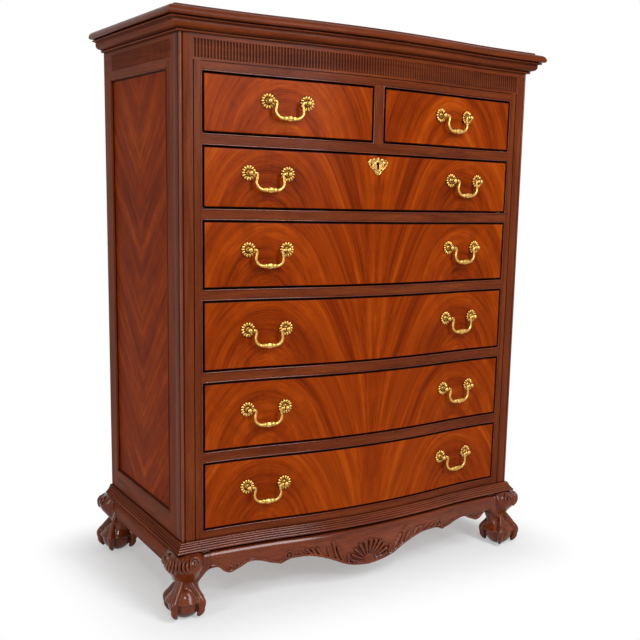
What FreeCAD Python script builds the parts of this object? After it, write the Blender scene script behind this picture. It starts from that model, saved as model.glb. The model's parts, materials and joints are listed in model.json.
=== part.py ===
"""Block front chest of drawers on ball and claw feet.

Frame: millimetres, -Y to the front, +Z up, +X to the right of someone who faces the drawers.
The origin is on the floor, in the middle of the whole outline.
"""
import FreeCAD
import Part
import Sketcher
import math
import os

Vector = FreeCAD.Vector
doc = FreeCAD.newDocument("BlockFrontChest")
dims = doc.addObject("Spreadsheet::Sheet", "Dims")

# ---------------------------------------------------------------- driving dimensions
SIZES = [
    # case
    ("case_width", 940, "width of the case over its sides"),
    ("case_depth", 490, "depth of the case, front corner to back"),
    ("base_height", 176, "floor to the bottom of the case"),
    ("bow_depth", 31.4, "how far the middle of the front swells forward"),
    ("post_width", 30, "width of a front corner post"),
    ("post_bead", 3.4, "radius of the bead on the corner of a post"),
    ("post_quirk", 1.8, "groove beside the corner bead"),
    ("groove_width", 2, "groove between corner post and face frame"),
    ("groove_depth", 2.5, "depth of that groove"),
    ("stile_width", 18, "width of a face frame stile"),
    ("rail_height", 24, "height of a rail between two drawers"),
    ("bottom_rail", 18.5, "height of the rail under the lowest drawer"),
    ("top_rail", 20.5, "height of the rail over the top drawers"),
    ("rail_depth", 60, "depth of a rail behind the front corner plane"),
    ("stile_depth", 24, "depth of a face frame stile"),
    ("divider_width", 27, "width of the divider between the top drawers"),
    ("frieze_height", 52.5, "height of the fluted frieze"),
    ("frieze_thickness", 20, "thickness of the frieze at its ends"),
    ("flute_pitch", 7.15, "spacing of the flutes"),
    ("flute_radius", 2.3, "radius of a flute"),
    ("flute_sink", 1.1, "how far a flute's axis lies in front of the surface"),
    ("flute_low", 5, "bottom of the flutes over the frieze's lower edge"),
    ("flute_length", 30.5, "length of the flutes"),
    # sides and back
    ("side_thickness", 22, "thickness of the side frames"),
    ("side_front_stile", 74, "side frame, front edge of the panel behind the corner"),
    ("side_back_stile", 50, "width of a side frame's back stile"),
    ("side_bottom_rail", 48, "height of a side frame's bottom rail"),
    ("side_top_rail", 67, "side frame, top of the panel under the cornice"),
    ("panel_thickness", 12, "thickness of a side panel"),
    ("panel_recess", 5, "how far a side panel lies behind its frame"),
    ("back_thickness", 8, "thickness of the back panel"),
    # cornice and top board
    ("cornice_height", 28.5, "height of the cornice moulding under the top board"),
    ("cornice_reach", 26.5, "how far the cornice moulding stands out"),
    ("top_reach", 36, "how far the top board stands out"),
    ("top_thickness", 17.5, "thickness of the top board"),
    ("top_round_upper", 12.5, "rounding of the top board's upper edge"),
    ("top_round_lower", 4, "rounding of the top board's lower edge"),
    ("cap_reach", 14, "how far the cap on the top board stands out"),
    ("cap_thickness", 5.5, "thickness of the cap"),
    # base
    ("base_moulding_height", 22, "height of the reeded base moulding"),
    ("base_moulding_top", 3.5, "how far the base moulding stands out at its top"),
    ("base_moulding_reach", 17, "how far the base moulding stands out at its foot"),
    ("base_frame_width", 56, "how far the base moulding's frame reaches inwards"),
    ("reed_radius", 3.1, "radius of the reeds on the base moulding"),
    ("apron_thickness", 20, "thickness of the aprons"),
    ("apron_top_out", 6, "how far an apron stands out at its top"),
    ("apron_bulge", 8, "how much further an apron stands out at its fullest"),
    ("side_apron_height", 50, "height of a side apron"),
    ("apron_step", 58, "front apron, depth where its arches and lobes meet"),
    ("apron_arch", 12, "front apron, rise of an arch over that depth"),
    ("apron_lobe", 8, "front apron, hang of a lobe under that depth"),
    ("apron_shoulder", 101, "front apron, depth at the ends of the middle drop"),
    ("apron_drop", 109, "front apron, depth of the middle drop"),
    ("shell_radius", 44, "radius of the carved shell"),
    ("rib_radius", 5.2, "radius of a shell rib at its outer end"),
    # legs
    ("block_margin", 1, "how far the block at the top of a leg reaches past the knee"),
    ("block_height", 48, "height of that block"),
    ("leg_top_radius", 36, "radius of a leg under the base moulding"),
    ("leg_top_inset", 24, "axis of a leg there, inside the case corner"),
    ("knee_radius", 53, "radius of the knee"),
    ("knee_inset", 14, "knee axis inside the case corner"),
    ("knee_drop", 23, "fullest part of the knee below the base moulding"),
    ("knee_length", 30, "length of the knee's swell"),
    ("ankle_radius", 26.5, "radius of the ankle"),
    ("ankle_inset", 17, "ankle axis inside the case corner"),
    ("ankle_height", 68, "height of the ankle over the floor"),
    ("foot_inset", 8, "ball's centre inside the case corner"),
    ("ball_radius", 38, "radius of the ball"),
    ("ball_flat", 2, "how much of the ball is flattened to stand on"),
    ("ball_cover", 6, "how far the leg reaches down over the top of the ball"),
    ("talon_radius", 11, "radius of a talon"),
    ("talon_ring", 38, "radius of the curve that a talon follows round the ball"),
    ("talon_sweep", 130, "how far a talon follows the ball, in degrees"),
    ("talon_start", 50, "angle below the ball's middle where a talon starts, in degrees"),
    ("rear_foot_inset", 8, "ball's centre inside the case's back plane"),
    ("glue_block", 30, "width of a corner glue block"),
    # drawers
    ("opening_1", 127, "height of the top drawers' openings"),
    ("opening_2", 133.5, "height of the second row's opening"),
    ("opening_3", 150, "height of the third row's opening"),
    ("opening_4", 158, "height of the fourth row's opening"),
    ("opening_5", 158, "height of the fifth row's opening"),
    ("opening_6", 157, "height of the lowest drawer's opening"),
    ("drawer_gap", 1.5, "clearance round a drawer front"),
    ("rebate_width", 2, "dark rebate round a drawer front, its width"),
    ("rebate_depth", 4, "dark rebate round a drawer front, its depth"),
    ("front_thickness", 20, "drawer front behind the front corner plane"),
    ("drawer_back_gap", 44, "clearance between a drawer and the back panel"),
    ("drawer_side", 12, "thickness of a drawer's sides and back"),
    ("drawer_slack", 1.2, "clearance between drawer side and guide"),
    ("drawer_lift", 0.5, "clearance between drawer and runner"),
    ("side_drop", 10, "drawer side below the top of its opening"),
    ("bottom_lift", 8, "drawer bottom over the lower edge of the sides"),
    ("bottom_thickness", 6, "thickness of a drawer bottom"),
    ("runner_height", 16, "height of a drawer runner"),
    ("runner_shelf", 24, "width of a runner under the drawer's side"),
    ("guide_height", 18, "height of the guide beside the drawer"),
    ("dust_thickness", 5, "thickness of a dust panel"),
    # pulls and lock
    ("pull_boring", 90, "distance between the two posts of a pull"),
    ("pull_rise", 12, "post over the middle of the drawer opening"),
    ("long_pull_x", 271, "middle of a pull on a long drawer, from the chest's middle"),
    ("short_pull_x", 228, "middle of a pull on a top drawer, from the chest's middle"),
    ("rosette_radius", 13.5, "radius of the rosette's disc"),
    ("petal_radius", 3.3, "radius of a petal"),
    ("rosette_thickness", 3, "thickness of the rosette's disc"),
    ("post_reach", 17, "pivot axis in front of the drawer"),
    ("post_radius", 4, "radius of a post's neck"),
    ("post_head", 6.2, "radius of a post's head"),
    ("pin_radius", 2, "radius of a bail's pivot pin"),
    ("pin_clearance", 0.08, "clearance round a pivot pin"),
    ("bail_radius", 3, "radius of a bail's wire"),
    ("bail_drop", 35.5, "grip's axis below the pivot axis"),
    ("bail_boss", 4.6, "radius of the boss beside the post"),
    ("boss_gap", 0.4, "clearance between boss and post"),
    ("bail_turn", 4.5, "radius of the bend at the pivot"),
    ("bail_sway", 55, "radius of the bail's slight outward sway"),
    ("sway_drop", 14, "height of that sway"),
    ("grip_radius", 6, "radius of the grip"),
    ("grip_length", 33, "length of the grip"),
    ("rosette_seat", 1.6, "how far a rosette reaches back to meet the drawer's curve"),
    ("shank_radius", 2.5, "radius of the shank that holds a post"),
    ("shank_clearance", 0.1, "clearance round a shank in the drawer front"),
    ("shank_end", 2, "how far a shank stands out of its nut"),
    ("nut_radius", 6, "radius of a post's nut, over its corners"),
    ("nut_height", 4, "height of a post's nut"),
    ("nut_clearance", 0.05, "clearance round a shank in its nut"),
    ("escutcheon_width", 58, "width of the escutcheon"),
    ("escutcheon_height", 44, "height of the escutcheon"),
    ("escutcheon_thickness", 1.8, "thickness of the escutcheon"),
    ("escutcheon_drop", 4.5, "middle of the escutcheon below the keyhole"),
    ("keyhole_drop", 23.5, "keyhole below the top of its drawer opening"),
    ("keyhole_radius", 3.6, "radius of the keyhole's round part"),
    ("keyhole_slot", 4, "width of the keyhole's slot"),
    ("keyhole_length", 11, "length of the keyhole's slot below its round part"),
    ("lock_width", 60, "width of the lock case"),
    ("lock_height", 44, "height of the lock case"),
    ("lock_thickness", 14, "thickness of the lock case"),
    ("bolt_width", 20, "width of the lock bolt"),
    ("bolt_thickness", 5, "thickness of the lock bolt"),
    ("bolt_throw", 8, "travel of the lock bolt"),
    ("bolt_clearance", 0.3, "clearance round the lock bolt in its case"),
    ("mortise_clearance", 1, "clearance round the lock bolt in the rail above"),
    ("mortise_spare", 2, "depth of that mortise past the thrown bolt"),
]

for row, (alias, value, note) in enumerate(SIZES, start=1):
    dims.set(f"A{row}", alias)
    dims.set(f"B{row}", str(value))
    dims.set(f"C{row}", note)
    dims.setAlias(f"B{row}", alias)
doc.recompute()


def num(text):
    """Value in millimetres of an expression over the sheet."""
    value = dims.evalExpression(text)
    return float(getattr(value, "Value", value))


# ---------------------------------------------------------------- shared places, as expressions
HALF = "(Dims.case_width / 2)"
FOOT_REACH = "max(Dims.ball_radius; Dims.talon_ring * sqrt(0.5) + Dims.talon_radius)"
REAR_SHIFT = "(Dims.rear_foot_inset - Dims.foot_inset)"
KNEE_OUT = f"(Dims.knee_radius - Dims.knee_inset - {REAR_SHIFT})"
REAR_OUT = f"max({FOOT_REACH} - Dims.rear_foot_inset; {KNEE_OUT})"
FRONT = f"((Dims.bow_depth + Dims.top_reach - {REAR_OUT} - Dims.case_depth) / 2)"
BACK = f"({FRONT} + Dims.case_depth)"
OPEN = f"({HALF} - Dims.post_width - Dims.groove_width - Dims.stile_width)"
INNER = f"({HALF} - Dims.side_thickness)"
CASE = "Dims.base_height"
LEG_TOP = "(Dims.base_height - Dims.base_moulding_height)"
FRONT_BACK = f"({FRONT} + Dims.front_thickness)"
RAIL_BACK = f"({FRONT} + Dims.rail_depth)"
DRAWER_HALF = f"({OPEN} - Dims.drawer_slack)"
DRAWER_LENGTH = ("(Dims.case_depth - Dims.front_thickness - Dims.back_thickness"
                 " - Dims.drawer_back_gap)")
BOLT_Y = f"({FRONT_BACK} + Dims.lock_thickness / 2 - Dims.bolt_thickness / 2)"
LEG_BLOCK = "(Dims.knee_inset + Dims.knee_radius + Dims.block_margin)"

ROWS = 6
OPENING_BOTTOM = {}
level = f"{CASE} + Dims.bottom_rail"
for row in range(ROWS, 0, -1):
    OPENING_BOTTOM[row] = f"({level})"
    level = f"{level} + Dims.opening_{row} + Dims.rail_height"
TOP_RAIL = f"({OPENING_BOTTOM[1]} + Dims.opening_1)"
FRIEZE = f"({TOP_RAIL} + Dims.top_rail)"
CORNICE = f"({FRIEZE} + Dims.frieze_height)"
TOP = f"({CORNICE} + Dims.cornice_height)"

# The front follows two equal arcs each side of the middle, the inner one swelling forward
# and the outer one hollow, tangent to each other and to the corner posts.
BOW_HALF = f"({HALF} - Dims.post_width)"
BOW_RADIUS = f"(({BOW_HALF}^2 + Dims.bow_depth^2) / (4 * Dims.bow_depth))"
BOW_SINE = f"(2 * {BOW_HALF} * Dims.bow_depth / ({BOW_HALF}^2 + Dims.bow_depth^2))"
BOW_COSINE = f"(({BOW_HALF}^2 - Dims.bow_depth^2) / ({BOW_HALF}^2 + Dims.bow_depth^2))"


def swell_y(x):
    """Y of the bowed front in its forward part, at x from the middle."""
    return f"({FRONT} - Dims.bow_depth + {BOW_RADIUS} - sqrt({BOW_RADIUS}^2 - ({x})^2))"


def hollow_y(x):
    """Y of the bowed front in its hollow part, at x from the middle."""
    return f"({FRONT} - {BOW_RADIUS} + sqrt({BOW_RADIUS}^2 - ({BOW_HALF} - ({x}))^2))"


def bow_y(x):
    """Y of the bowed front at x from the middle, x being positive."""
    if num(x) < num(f"{BOW_HALF} / 2"):
        return swell_y(x)
    return hollow_y(x)


# ---------------------------------------------------------------- drawing helpers
PLANES = {"top": "XY_Plane", "front": "XZ_Plane", "side": "YZ_Plane"}
LINE = None


def arc_geometry(start, end, radius, turn):
    """Arc from start to end, bending left for turn 1 and right for turn -1."""
    chord = end - start
    half = chord.Length / 2
    rise = math.sqrt(max(radius * radius - half * half, 0.0))
    left = Vector(-chord.y, chord.x, 0).normalize()
    centre = (start + end) / 2 + left * rise * turn
    first, last = (start, end) if turn > 0 else (end, start)
    angle_1 = math.atan2(first.y - centre.y, first.x - centre.x)
    angle_2 = math.atan2(last.y - centre.y, last.x - centre.x)
    if angle_2 <= angle_1:
        angle_2 += 2 * math.pi
    return Part.ArcOfCircle(Part.Circle(centre, Vector(0, 0, 1), radius), angle_1, angle_2)


def draw(sketch, points, closed=True):
    """Lines and arcs through points (x, y, segment), each bound to the sheet.

    segment is LINE, or (radius, turn) for an arc, and leads on to the next point."""
    spots = [Vector(num(x), num(y), 0) for x, y, _ in points]
    count = len(points) if closed else len(points) - 1
    base = len(sketch.Geometry)
    ends = []
    for i in range(count):
        start, end = spots[i], spots[(i + 1) % len(spots)]
        segment = points[i][2]
        if segment is LINE:
            sketch.addGeometry(Part.LineSegment(start, end), False)
            ends.append((1, 2))
        else:
            radius, turn = segment
            sketch.addGeometry(arc_geometry(start, end, num(radius), turn), False)
            ends.append((1, 2) if turn > 0 else (2, 1))
            at = sketch.addConstraint(Sketcher.Constraint("Radius", base + i, num(radius)))
            sketch.setExpression(f"Constraints[{at}]", radius)
    for i in range(count if closed else count - 1):
        after = (i + 1) % count
        sketch.addConstraint(
            Sketcher.Constraint("Coincident", base + i, ends[i][1], base + after, ends[after][0]))
    for i, (x, y, _) in enumerate(points):
        edge, end = (i, ends[i][0]) if i < count else (count - 1, ends[count - 1][1])
        for kind, text, value in (("DistanceX", x, spots[i].x), ("DistanceY", y, spots[i].y)):
            at = sketch.addConstraint(
                Sketcher.Constraint(kind, -1, 1, base + edge, end, value))
            if text != "0":
                sketch.setExpression(f"Constraints[{at}]", text)


def place(thing, x="0", y="0", z="0"):
    """Bind an object's position to the sheet."""
    for axis, text in (("x", x), ("y", y), ("z", z)):
        if text != "0":
            thing.setExpression(f"Placement.Base.{axis}", text)
    return thing


def new_body(name):
    """Empty body with its own label."""
    body = doc.addObject("PartDesign::Body", name)
    body.Label = name
    return body


def body_sketch(body, plane, name):
    """Sketch on one of the body's own origin planes."""
    sketch = body.newObject("Sketcher::SketchObject", name)
    support = [item for item in body.Origin.OriginFeatures if item.Role == PLANES[plane]][0]
    sketch.AttachmentSupport = [(support, "")]
    sketch.MapMode = "FlatFace"
    return sketch


def pad(body, plane, points, length, offset=None, reverse=False):
    """Pad of a closed outline; offset lifts the sketch off its plane."""
    stem = f"{body.Name}_{len(body.Group)}"
    sketch = body_sketch(body, plane, f"{stem}_sketch")
    draw(sketch, points)
    if offset:
        sketch.setExpression("AttachmentOffset.Base.z", offset)
    feature = body.newObject("PartDesign::Pad", f"{stem}_pad")
    feature.Profile = sketch
    feature.setExpression("Length", length)
    feature.Reversed = reverse
    return feature


def prism(name, plane, points, length, x="0", y="0", z="0", reverse=False):
    """Body made of one pad."""
    body = new_body(name)
    pad(body, plane, points, length, reverse=reverse)
    return place(body, x, y, z)


def board(name, x, y, z, length, width, height):
    """Plain board with one corner at x, y, z."""
    box = doc.addObject("Part::Box", name)
    box.Label = name
    box.setExpression("Length", length)
    box.setExpression("Width", width)
    box.setExpression("Height", height)
    return place(box, x, y, z)


def group(name, members):
    """Several solids as one sub-part."""
    compound = doc.addObject("Part::Compound", name)
    compound.Label = name
    compound.Links = members
    return compound


def placed_copy(name, source, x="0", y="0", z="0", turn=None):
    """Copy of a pattern at a place, turned about Z by an angle expression."""
    copy = group(name, [source])
    if turn:
        copy.Placement = FreeCAD.Placement(Vector(0, 0, 0), FreeCAD.Rotation(Vector(0, 0, 1), 1))
        copy.setExpression("Placement.Rotation.Angle", turn)
    return place(copy, x, y, z)


def mirrored(name, source):
    """The same piece on the other side of the chest."""
    mirror = doc.addObject("Part::Mirroring", name)
    mirror.Label = name
    mirror.Source = source
    mirror.Base = Vector(0, 0, 0)
    mirror.Normal = Vector(1, 0, 0)
    return mirror


def cut(name, base, tool):
    """Base without tool."""
    feature = doc.addObject("Part::Cut", name)
    feature.Label = name
    feature.Base = base
    feature.Tool = tool
    return feature


def common(name, base, tool):
    """What base and tool share."""
    feature = doc.addObject("Part::Common", name)
    feature.Label = name
    feature.Base = base
    feature.Tool = tool
    return feature


def fuse(name, members):
    """Members joined into one solid."""
    feature = doc.addObject("Part::MultiFuse", name)
    feature.Label = name
    feature.Shapes = members
    feature.Refine = False
    return feature


def bowed_outline(back, half=None, left=None, right=None, sink="0"):
    """Plan of a piece whose front follows the bow and whose back is straight.

    The piece runs between -half and half, or between left and right on the +X side."""
    swell = f"({BOW_RADIUS} - {sink})"
    hollow = f"({BOW_RADIUS} + {sink})"
    turn_x = f"({BOW_HALF} / 2 - {sink} * {BOW_SINE})"
    turn_y = f"({FRONT} - Dims.bow_depth + {BOW_RADIUS} - {swell} * {BOW_COSINE})"
    if half is not None:
        end_y = f"({FRONT} - {BOW_RADIUS} + sqrt({hollow}^2 - ({BOW_HALF} - {half})^2))"
        return [
            (f"-{half}", end_y, (hollow, -1)),
            (f"-{turn_x}", turn_y, (swell, 1)),
            (turn_x, turn_y, (hollow, -1)),
            (half, end_y, LINE),
            (half, back, LINE),
            (f"-{half}", back, LINE),
        ]
    left_y = f"({FRONT} - Dims.bow_depth + {BOW_RADIUS} - sqrt({swell}^2 - ({left})^2))"
    right_y = f"({FRONT} - {BOW_RADIUS} + sqrt({hollow}^2 - ({BOW_HALF} - {right})^2))"
    return [
        (left, left_y, (swell, 1)),
        (turn_x, turn_y, (hollow, -1)),
        (right, right_y, LINE),
        (right, back, LINE),
        (left, back, LINE),
    ]


def overhang_outline(reach, back):
    """Plan of a board that stands out by reach at the front and both sides."""
    edge = f"({HALF} + {reach})"
    swell = f"({BOW_RADIUS} + {reach})"
    hollow = f"({BOW_RADIUS} - {reach})"
    turn_x = f"({BOW_HALF} / 2 + {reach} * {BOW_SINE})"
    turn_y = f"({FRONT} - Dims.bow_depth + {BOW_RADIUS} - {swell} * {BOW_COSINE})"
    front = f"({FRONT} - {reach})"
    return [
        (f"-{edge}", front, LINE),
        (f"-{BOW_HALF}", front, (hollow, -1)),
        (f"-{turn_x}", turn_y, (swell, 1)),
        (turn_x, turn_y, (hollow, -1)),
        (BOW_HALF, front, LINE),
        (edge, front, LINE),
        (edge, back, LINE),
        (f"-{edge}", back, LINE),
    ]


# ---------------------------------------------------------------- mouldings swept along the front
SPILL = f"({HALF} + 2 * Dims.top_reach)"


def free_sketch(name, points, placement, closed=True):
    """Sketch that stands on its own."""
    sketch = doc.addObject("Sketcher::SketchObject", name)
    sketch.Placement = placement
    draw(sketch, points, closed)
    return sketch


def front_line():
    """The line in plan that the front mouldings follow."""
    turn_x = f"({BOW_HALF} / 2)"
    turn_y = f"({FRONT} - Dims.bow_depth + {BOW_RADIUS} - {BOW_RADIUS} * {BOW_COSINE})"
    points = [
        (f"-{SPILL}", FRONT, LINE),
        (f"-{BOW_HALF}", FRONT, (BOW_RADIUS, -1)),
        (f"-{turn_x}", turn_y, (BOW_RADIUS, 1)),
        (turn_x, turn_y, (BOW_RADIUS, -1)),
        (BOW_HALF, FRONT, LINE),
        (SPILL, FRONT, LINE),
    ]
    return free_sketch("front_line", points, FreeCAD.Placement(), closed=False)


FRONT_LINE = front_line()
SIDEWAYS = FreeCAD.Rotation(Vector(0, -1, 0), Vector(0, 0, 1), Vector(-1, 0, 0), "XYZ")
ENDWAYS = FreeCAD.Rotation(Vector(-1, 0, 0), Vector(0, 0, 1), Vector(0, 1, 0), "XYZ")


def swept(name, points, z):
    """Profile (out, up) swept along the front line."""
    profile = free_sketch(f"{name}_profile", points, FreeCAD.Placement(Vector(), SIDEWAYS))
    place(profile, f"-{SPILL}", FRONT, z)
    sweep = doc.addObject("Part::Sweep", name)
    sweep.Label = name
    sweep.Sections = [profile]
    sweep.Spine = (FRONT_LINE, [f"Edge{i + 1}" for i in range(5)])
    sweep.Solid = True
    sweep.Frenet = False
    return sweep


def run_back(name, points, z, length):
    """Profile (out, up) run straight back along the left side of the case."""
    profile = free_sketch(f"{name}_profile", points, FreeCAD.Placement(Vector(), ENDWAYS))
    place(profile, f"-{HALF}", f"({BACK} - {length})", z)
    run = doc.addObject("Part::Extrusion", name)
    run.Label = name
    run.Base = profile
    run.DirMode = "Custom"
    run.Dir = Vector(0, 1, 0)
    run.setExpression("LengthFwd", length)
    run.Solid = True
    return run


def mitre_wedge(name, inward, side):
    """Prism on one side of the mitre plane through the case's front left corner."""
    outward = "(3 * Dims.top_reach)"
    near = (f"(-{HALF} + {inward})", f"({FRONT} + {inward})", LINE)
    far = (f"(-{HALF} - {outward})", f"({FRONT} - {outward})", LINE)
    if side == "front":
        third = (far[0], near[1], LINE)
    else:
        third = (near[0], far[1], LINE)
    return prism(name, "top", [near, far, third], f"{TOP} + 100")


def mitred_set(name, points, z, inward, length):
    """Front, left and right lengths of one moulding, mitred at the front corners."""
    wedge_front = mitre_wedge(f"{name}_front_wedge", inward, "front")
    wedge_side = mitre_wedge(f"{name}_side_wedge", inward, "side")
    both = group(f"{name}_both_wedges",
                 [wedge_front, mirrored(f"{name}_far_wedge", wedge_front)])
    front = cut(f"{name}_front", swept(f"{name}_sweep", points, z), both)
    left = cut(f"{name}_left", run_back(f"{name}_run", points, z, length), wedge_side)
    return [front, left, mirrored(f"{name}_right", left)]


CORNICE_PROFILE = [
    ("0", "0", LINE),
    ("Dims.cornice_reach * 0.16", "0", ("Dims.cornice_height * 0.09", 1)),
    ("Dims.cornice_reach * 0.16", "Dims.cornice_height * 0.16", LINE),
    ("Dims.cornice_reach * 0.34", "Dims.cornice_height * 0.2", ("Dims.cornice_reach * 0.55", 1)),
    ("Dims.cornice_reach * 0.7", "Dims.cornice_height * 0.68", LINE),
    ("Dims.cornice_reach * 0.74", "Dims.cornice_height * 0.74", LINE),
    ("Dims.cornice_reach * 0.96", "Dims.cornice_height * 0.84", LINE),
    ("Dims.cornice_reach * 0.97", "Dims.cornice_height * 0.9", ("Dims.cornice_height * 0.12", -1)),
    ("Dims.cornice_reach", "Dims.cornice_height", LINE),
    ("0", "Dims.cornice_height", LINE),
]

REEDS = 5


def base_profile():
    """Base moulding in section: reeds down a slope, then the frame it is worked on."""
    points = []
    for reed in range(REEDS + 1):
        share = reed / REEDS
        out = (f"(Dims.base_moulding_top + (Dims.base_moulding_reach - Dims.base_moulding_top)"
               f" * {share ** 1.5:.4f})")
        up = f"(Dims.base_moulding_height * {1 - share:.4f})"
        segment = ("Dims.reed_radius", -1) if reed < REEDS else LINE
        points.append((out, up, segment))
    points.append(("-Dims.base_frame_width", "0", LINE))
    points.append(("-Dims.base_frame_width", "Dims.base_moulding_height", LINE))
    return points


def cornice_and_top():
    """Mitred cornice moulding, and the top board with its cap."""
    moulding = mitred_set("cornice", CORNICE_PROFILE, CORNICE, "0",
                          "(Dims.case_depth + 2 * Dims.top_reach)")
    group("cornice_moulding", moulding)
    slab = new_body("top_slab")
    pad(slab, "top", overhang_outline("Dims.top_reach", BACK), "Dims.top_thickness")
    doc.recompute()
    for level, height in (("upper", num("Dims.top_thickness")), ("lower", 0.0)):
        last = slab.Tip
        edges = rim_edges(last.Shape, height)
        rounding = slab.newObject("PartDesign::Fillet", f"top_round_{level}")
        rounding.Base = (last, edges)
        rounding.setExpression("Radius", f"Dims.top_round_{level}")
        doc.recompute()
    cap = prism("top_cap", "top", overhang_outline("Dims.cap_reach", BACK), "Dims.cap_thickness",
                z="Dims.top_thickness")
    place(fuse("top_board", [slab, cap]), z=TOP)


def rim_edges(shape, height):
    """Names of the edges at a height that run round the front and the sides."""
    names = []
    back = num(BACK)
    for index, edge in enumerate(shape.Edges, start=1):
        points = [vertex.Point for vertex in edge.Vertexes]
        level_ok = all(abs(point.z - height) < 0.01 for point in points)
        at_back = all(abs(point.y - back) < 0.01 for point in points)
        if level_ok and not at_back:
            names.append(f"Edge{index}")
    return names


# ---------------------------------------------------------------- case
def corner_post():
    """Front corner post with a bead on its corner, as a prism."""
    width = "Dims.post_width"
    bead = "(2 * Dims.post_bead)"
    quirk = f"({bead} + Dims.post_quirk)"
    sink = "Dims.post_quirk"
    left = f"(-{HALF})"
    points = [
        (f"({left} + Dims.post_bead)", FRONT, LINE),
        (f"({left} + {bead})", FRONT, LINE),
        (f"({left} + {bead})", f"({FRONT} + {sink})", LINE),
        (f"({left} + {quirk})", f"({FRONT} + {sink})", LINE),
        (f"({left} + {quirk})", FRONT, LINE),
        (f"({left} + {width})", FRONT, LINE),
        (f"({left} + {width})", f"({FRONT} + {width})", LINE),
        (left, f"({FRONT} + {width})", LINE),
        (left, f"({FRONT} + {quirk})", LINE),
        (f"({left} + {sink})", f"({FRONT} + {quirk})", LINE),
        (f"({left} + {sink})", f"({FRONT} + {bead})", LINE),
        (left, f"({FRONT} + {bead})", LINE),
        (left, f"({FRONT} + Dims.post_bead)", ("Dims.post_bead", 1)),
    ]
    post = prism("left_corner_post", "top", points, f"{TOP} - {CASE}", z=CASE)
    mirrored("right_corner_post", post)


def side_flutes(surface, start, end):
    """Flutes across the top rail of the left side."""
    count = int((num(end) - num(start)) / num("Dims.flute_pitch"))
    flutes = []
    for i in range(count):
        flute = doc.addObject("Part::Cylinder", f"side_flute_{i}")
        flute.setExpression("Radius", "Dims.flute_radius")
        flute.setExpression("Height", "Dims.flute_length")
        place(flute, f"({surface} - Dims.flute_sink)",
              f"({start} + ({i} + 0.5) * ({end} - {start}) / {count})",
              f"({FRIEZE} + Dims.flute_low)")
        flutes.append(flute)
    return group("side_flutes", flutes)


def side_walls():
    """Frame and panel of the left side, and the same on the right."""
    outer = f"(-{HALF})"
    thick = "Dims.side_thickness"
    start = f"({FRONT} + Dims.post_width)"
    panel_front = f"({FRONT} + Dims.side_front_stile)"
    panel_back = f"({BACK} - Dims.side_back_stile)"
    panel_low = f"({CASE} + Dims.side_bottom_rail)"
    panel_top = f"({CORNICE} - Dims.side_top_rail)"
    height = f"({TOP} - {CASE})"
    front_stile = board("side_stile_front", outer, start, CASE, thick,
                        f"({panel_front} - {start})", height)
    back_stile = board("side_stile_back", outer, panel_back, CASE, thick,
                       "Dims.side_back_stile", height)
    low_rail = board("side_rail_low", outer, panel_front, CASE, thick,
                     f"({panel_back} - {panel_front})", "Dims.side_bottom_rail")
    top_rail = board("side_rail_plain", outer, panel_front, panel_top, thick,
                     f"({panel_back} - {panel_front})", f"({TOP} - {panel_top})")
    fluted = cut("side_rail_top", top_rail, side_flutes(outer, panel_front, panel_back))
    frame = group("left_side_frame", [front_stile, back_stile, low_rail, fluted])
    mirrored("right_side_frame", frame)
    panel = board("left_side_panel", f"({outer} + Dims.panel_recess)", panel_front, panel_low,
                  "Dims.panel_thickness", f"({panel_back} - {panel_front})",
                  f"({panel_top} - {panel_low})")
    mirrored("right_side_panel", panel)


def face_frame():
    """Stiles beside the drawers, and the rails over, between and under them."""
    groove = "Dims.groove_width"
    depth = "Dims.groove_depth"
    outer = f"({OPEN} + Dims.stile_width + {groove})"
    points = [
        (OPEN, FRONT, LINE),
        (f"({outer} - {groove})", FRONT, LINE),
        (f"({outer} - {groove})", f"({FRONT} + {depth})", LINE),
        (outer, f"({FRONT} + {depth})", LINE),
        (outer, f"({FRONT} + Dims.stile_depth)", LINE),
        (OPEN, f"({FRONT} + Dims.stile_depth)", LINE),
    ]
    right = prism("stile_right", "top", points, f"({FRIEZE} - {CASE})", z=CASE)
    members = [right, mirrored("stile_left", right)]
    rails = [("rail_bottom", CASE, "Dims.bottom_rail"), ("rail_top", TOP_RAIL, "Dims.top_rail")]
    for row in range(ROWS, 1, -1):
        rails.append((f"rail_{row}", f"({OPENING_BOTTOM[row]} + Dims.opening_{row})",
                      "Dims.rail_height"))
    for name, z, height in rails:
        rail = prism(name, "top", bowed_outline(RAIL_BACK, half=OPEN), height, z=z)
        if name == "rail_2":
            slack = "Dims.mortise_clearance"
            slot = board("bolt_mortise", f"(-Dims.bolt_width / 2 - {slack})",
                         f"({BOLT_Y} - {slack})", z, f"(Dims.bolt_width + 2 * {slack})",
                         f"(Dims.bolt_thickness + 2 * {slack})",
                         "(Dims.bolt_throw + Dims.mortise_spare)")
            rail = cut("rail_2_mortised", rail, slot)
        members.append(rail)
    group("face_frame", members)
    half = "(Dims.divider_width / 2)"
    plan = [
        (f"(0 - {half})", swell_y(half), (BOW_RADIUS, 1)),
        (half, swell_y(half), LINE),
        (half, RAIL_BACK, LINE),
        (f"-{half}", RAIL_BACK, LINE),
    ]
    prism("centre_divider", "top", plan, "Dims.opening_1", z=OPENING_BOTTOM[1])


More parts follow.
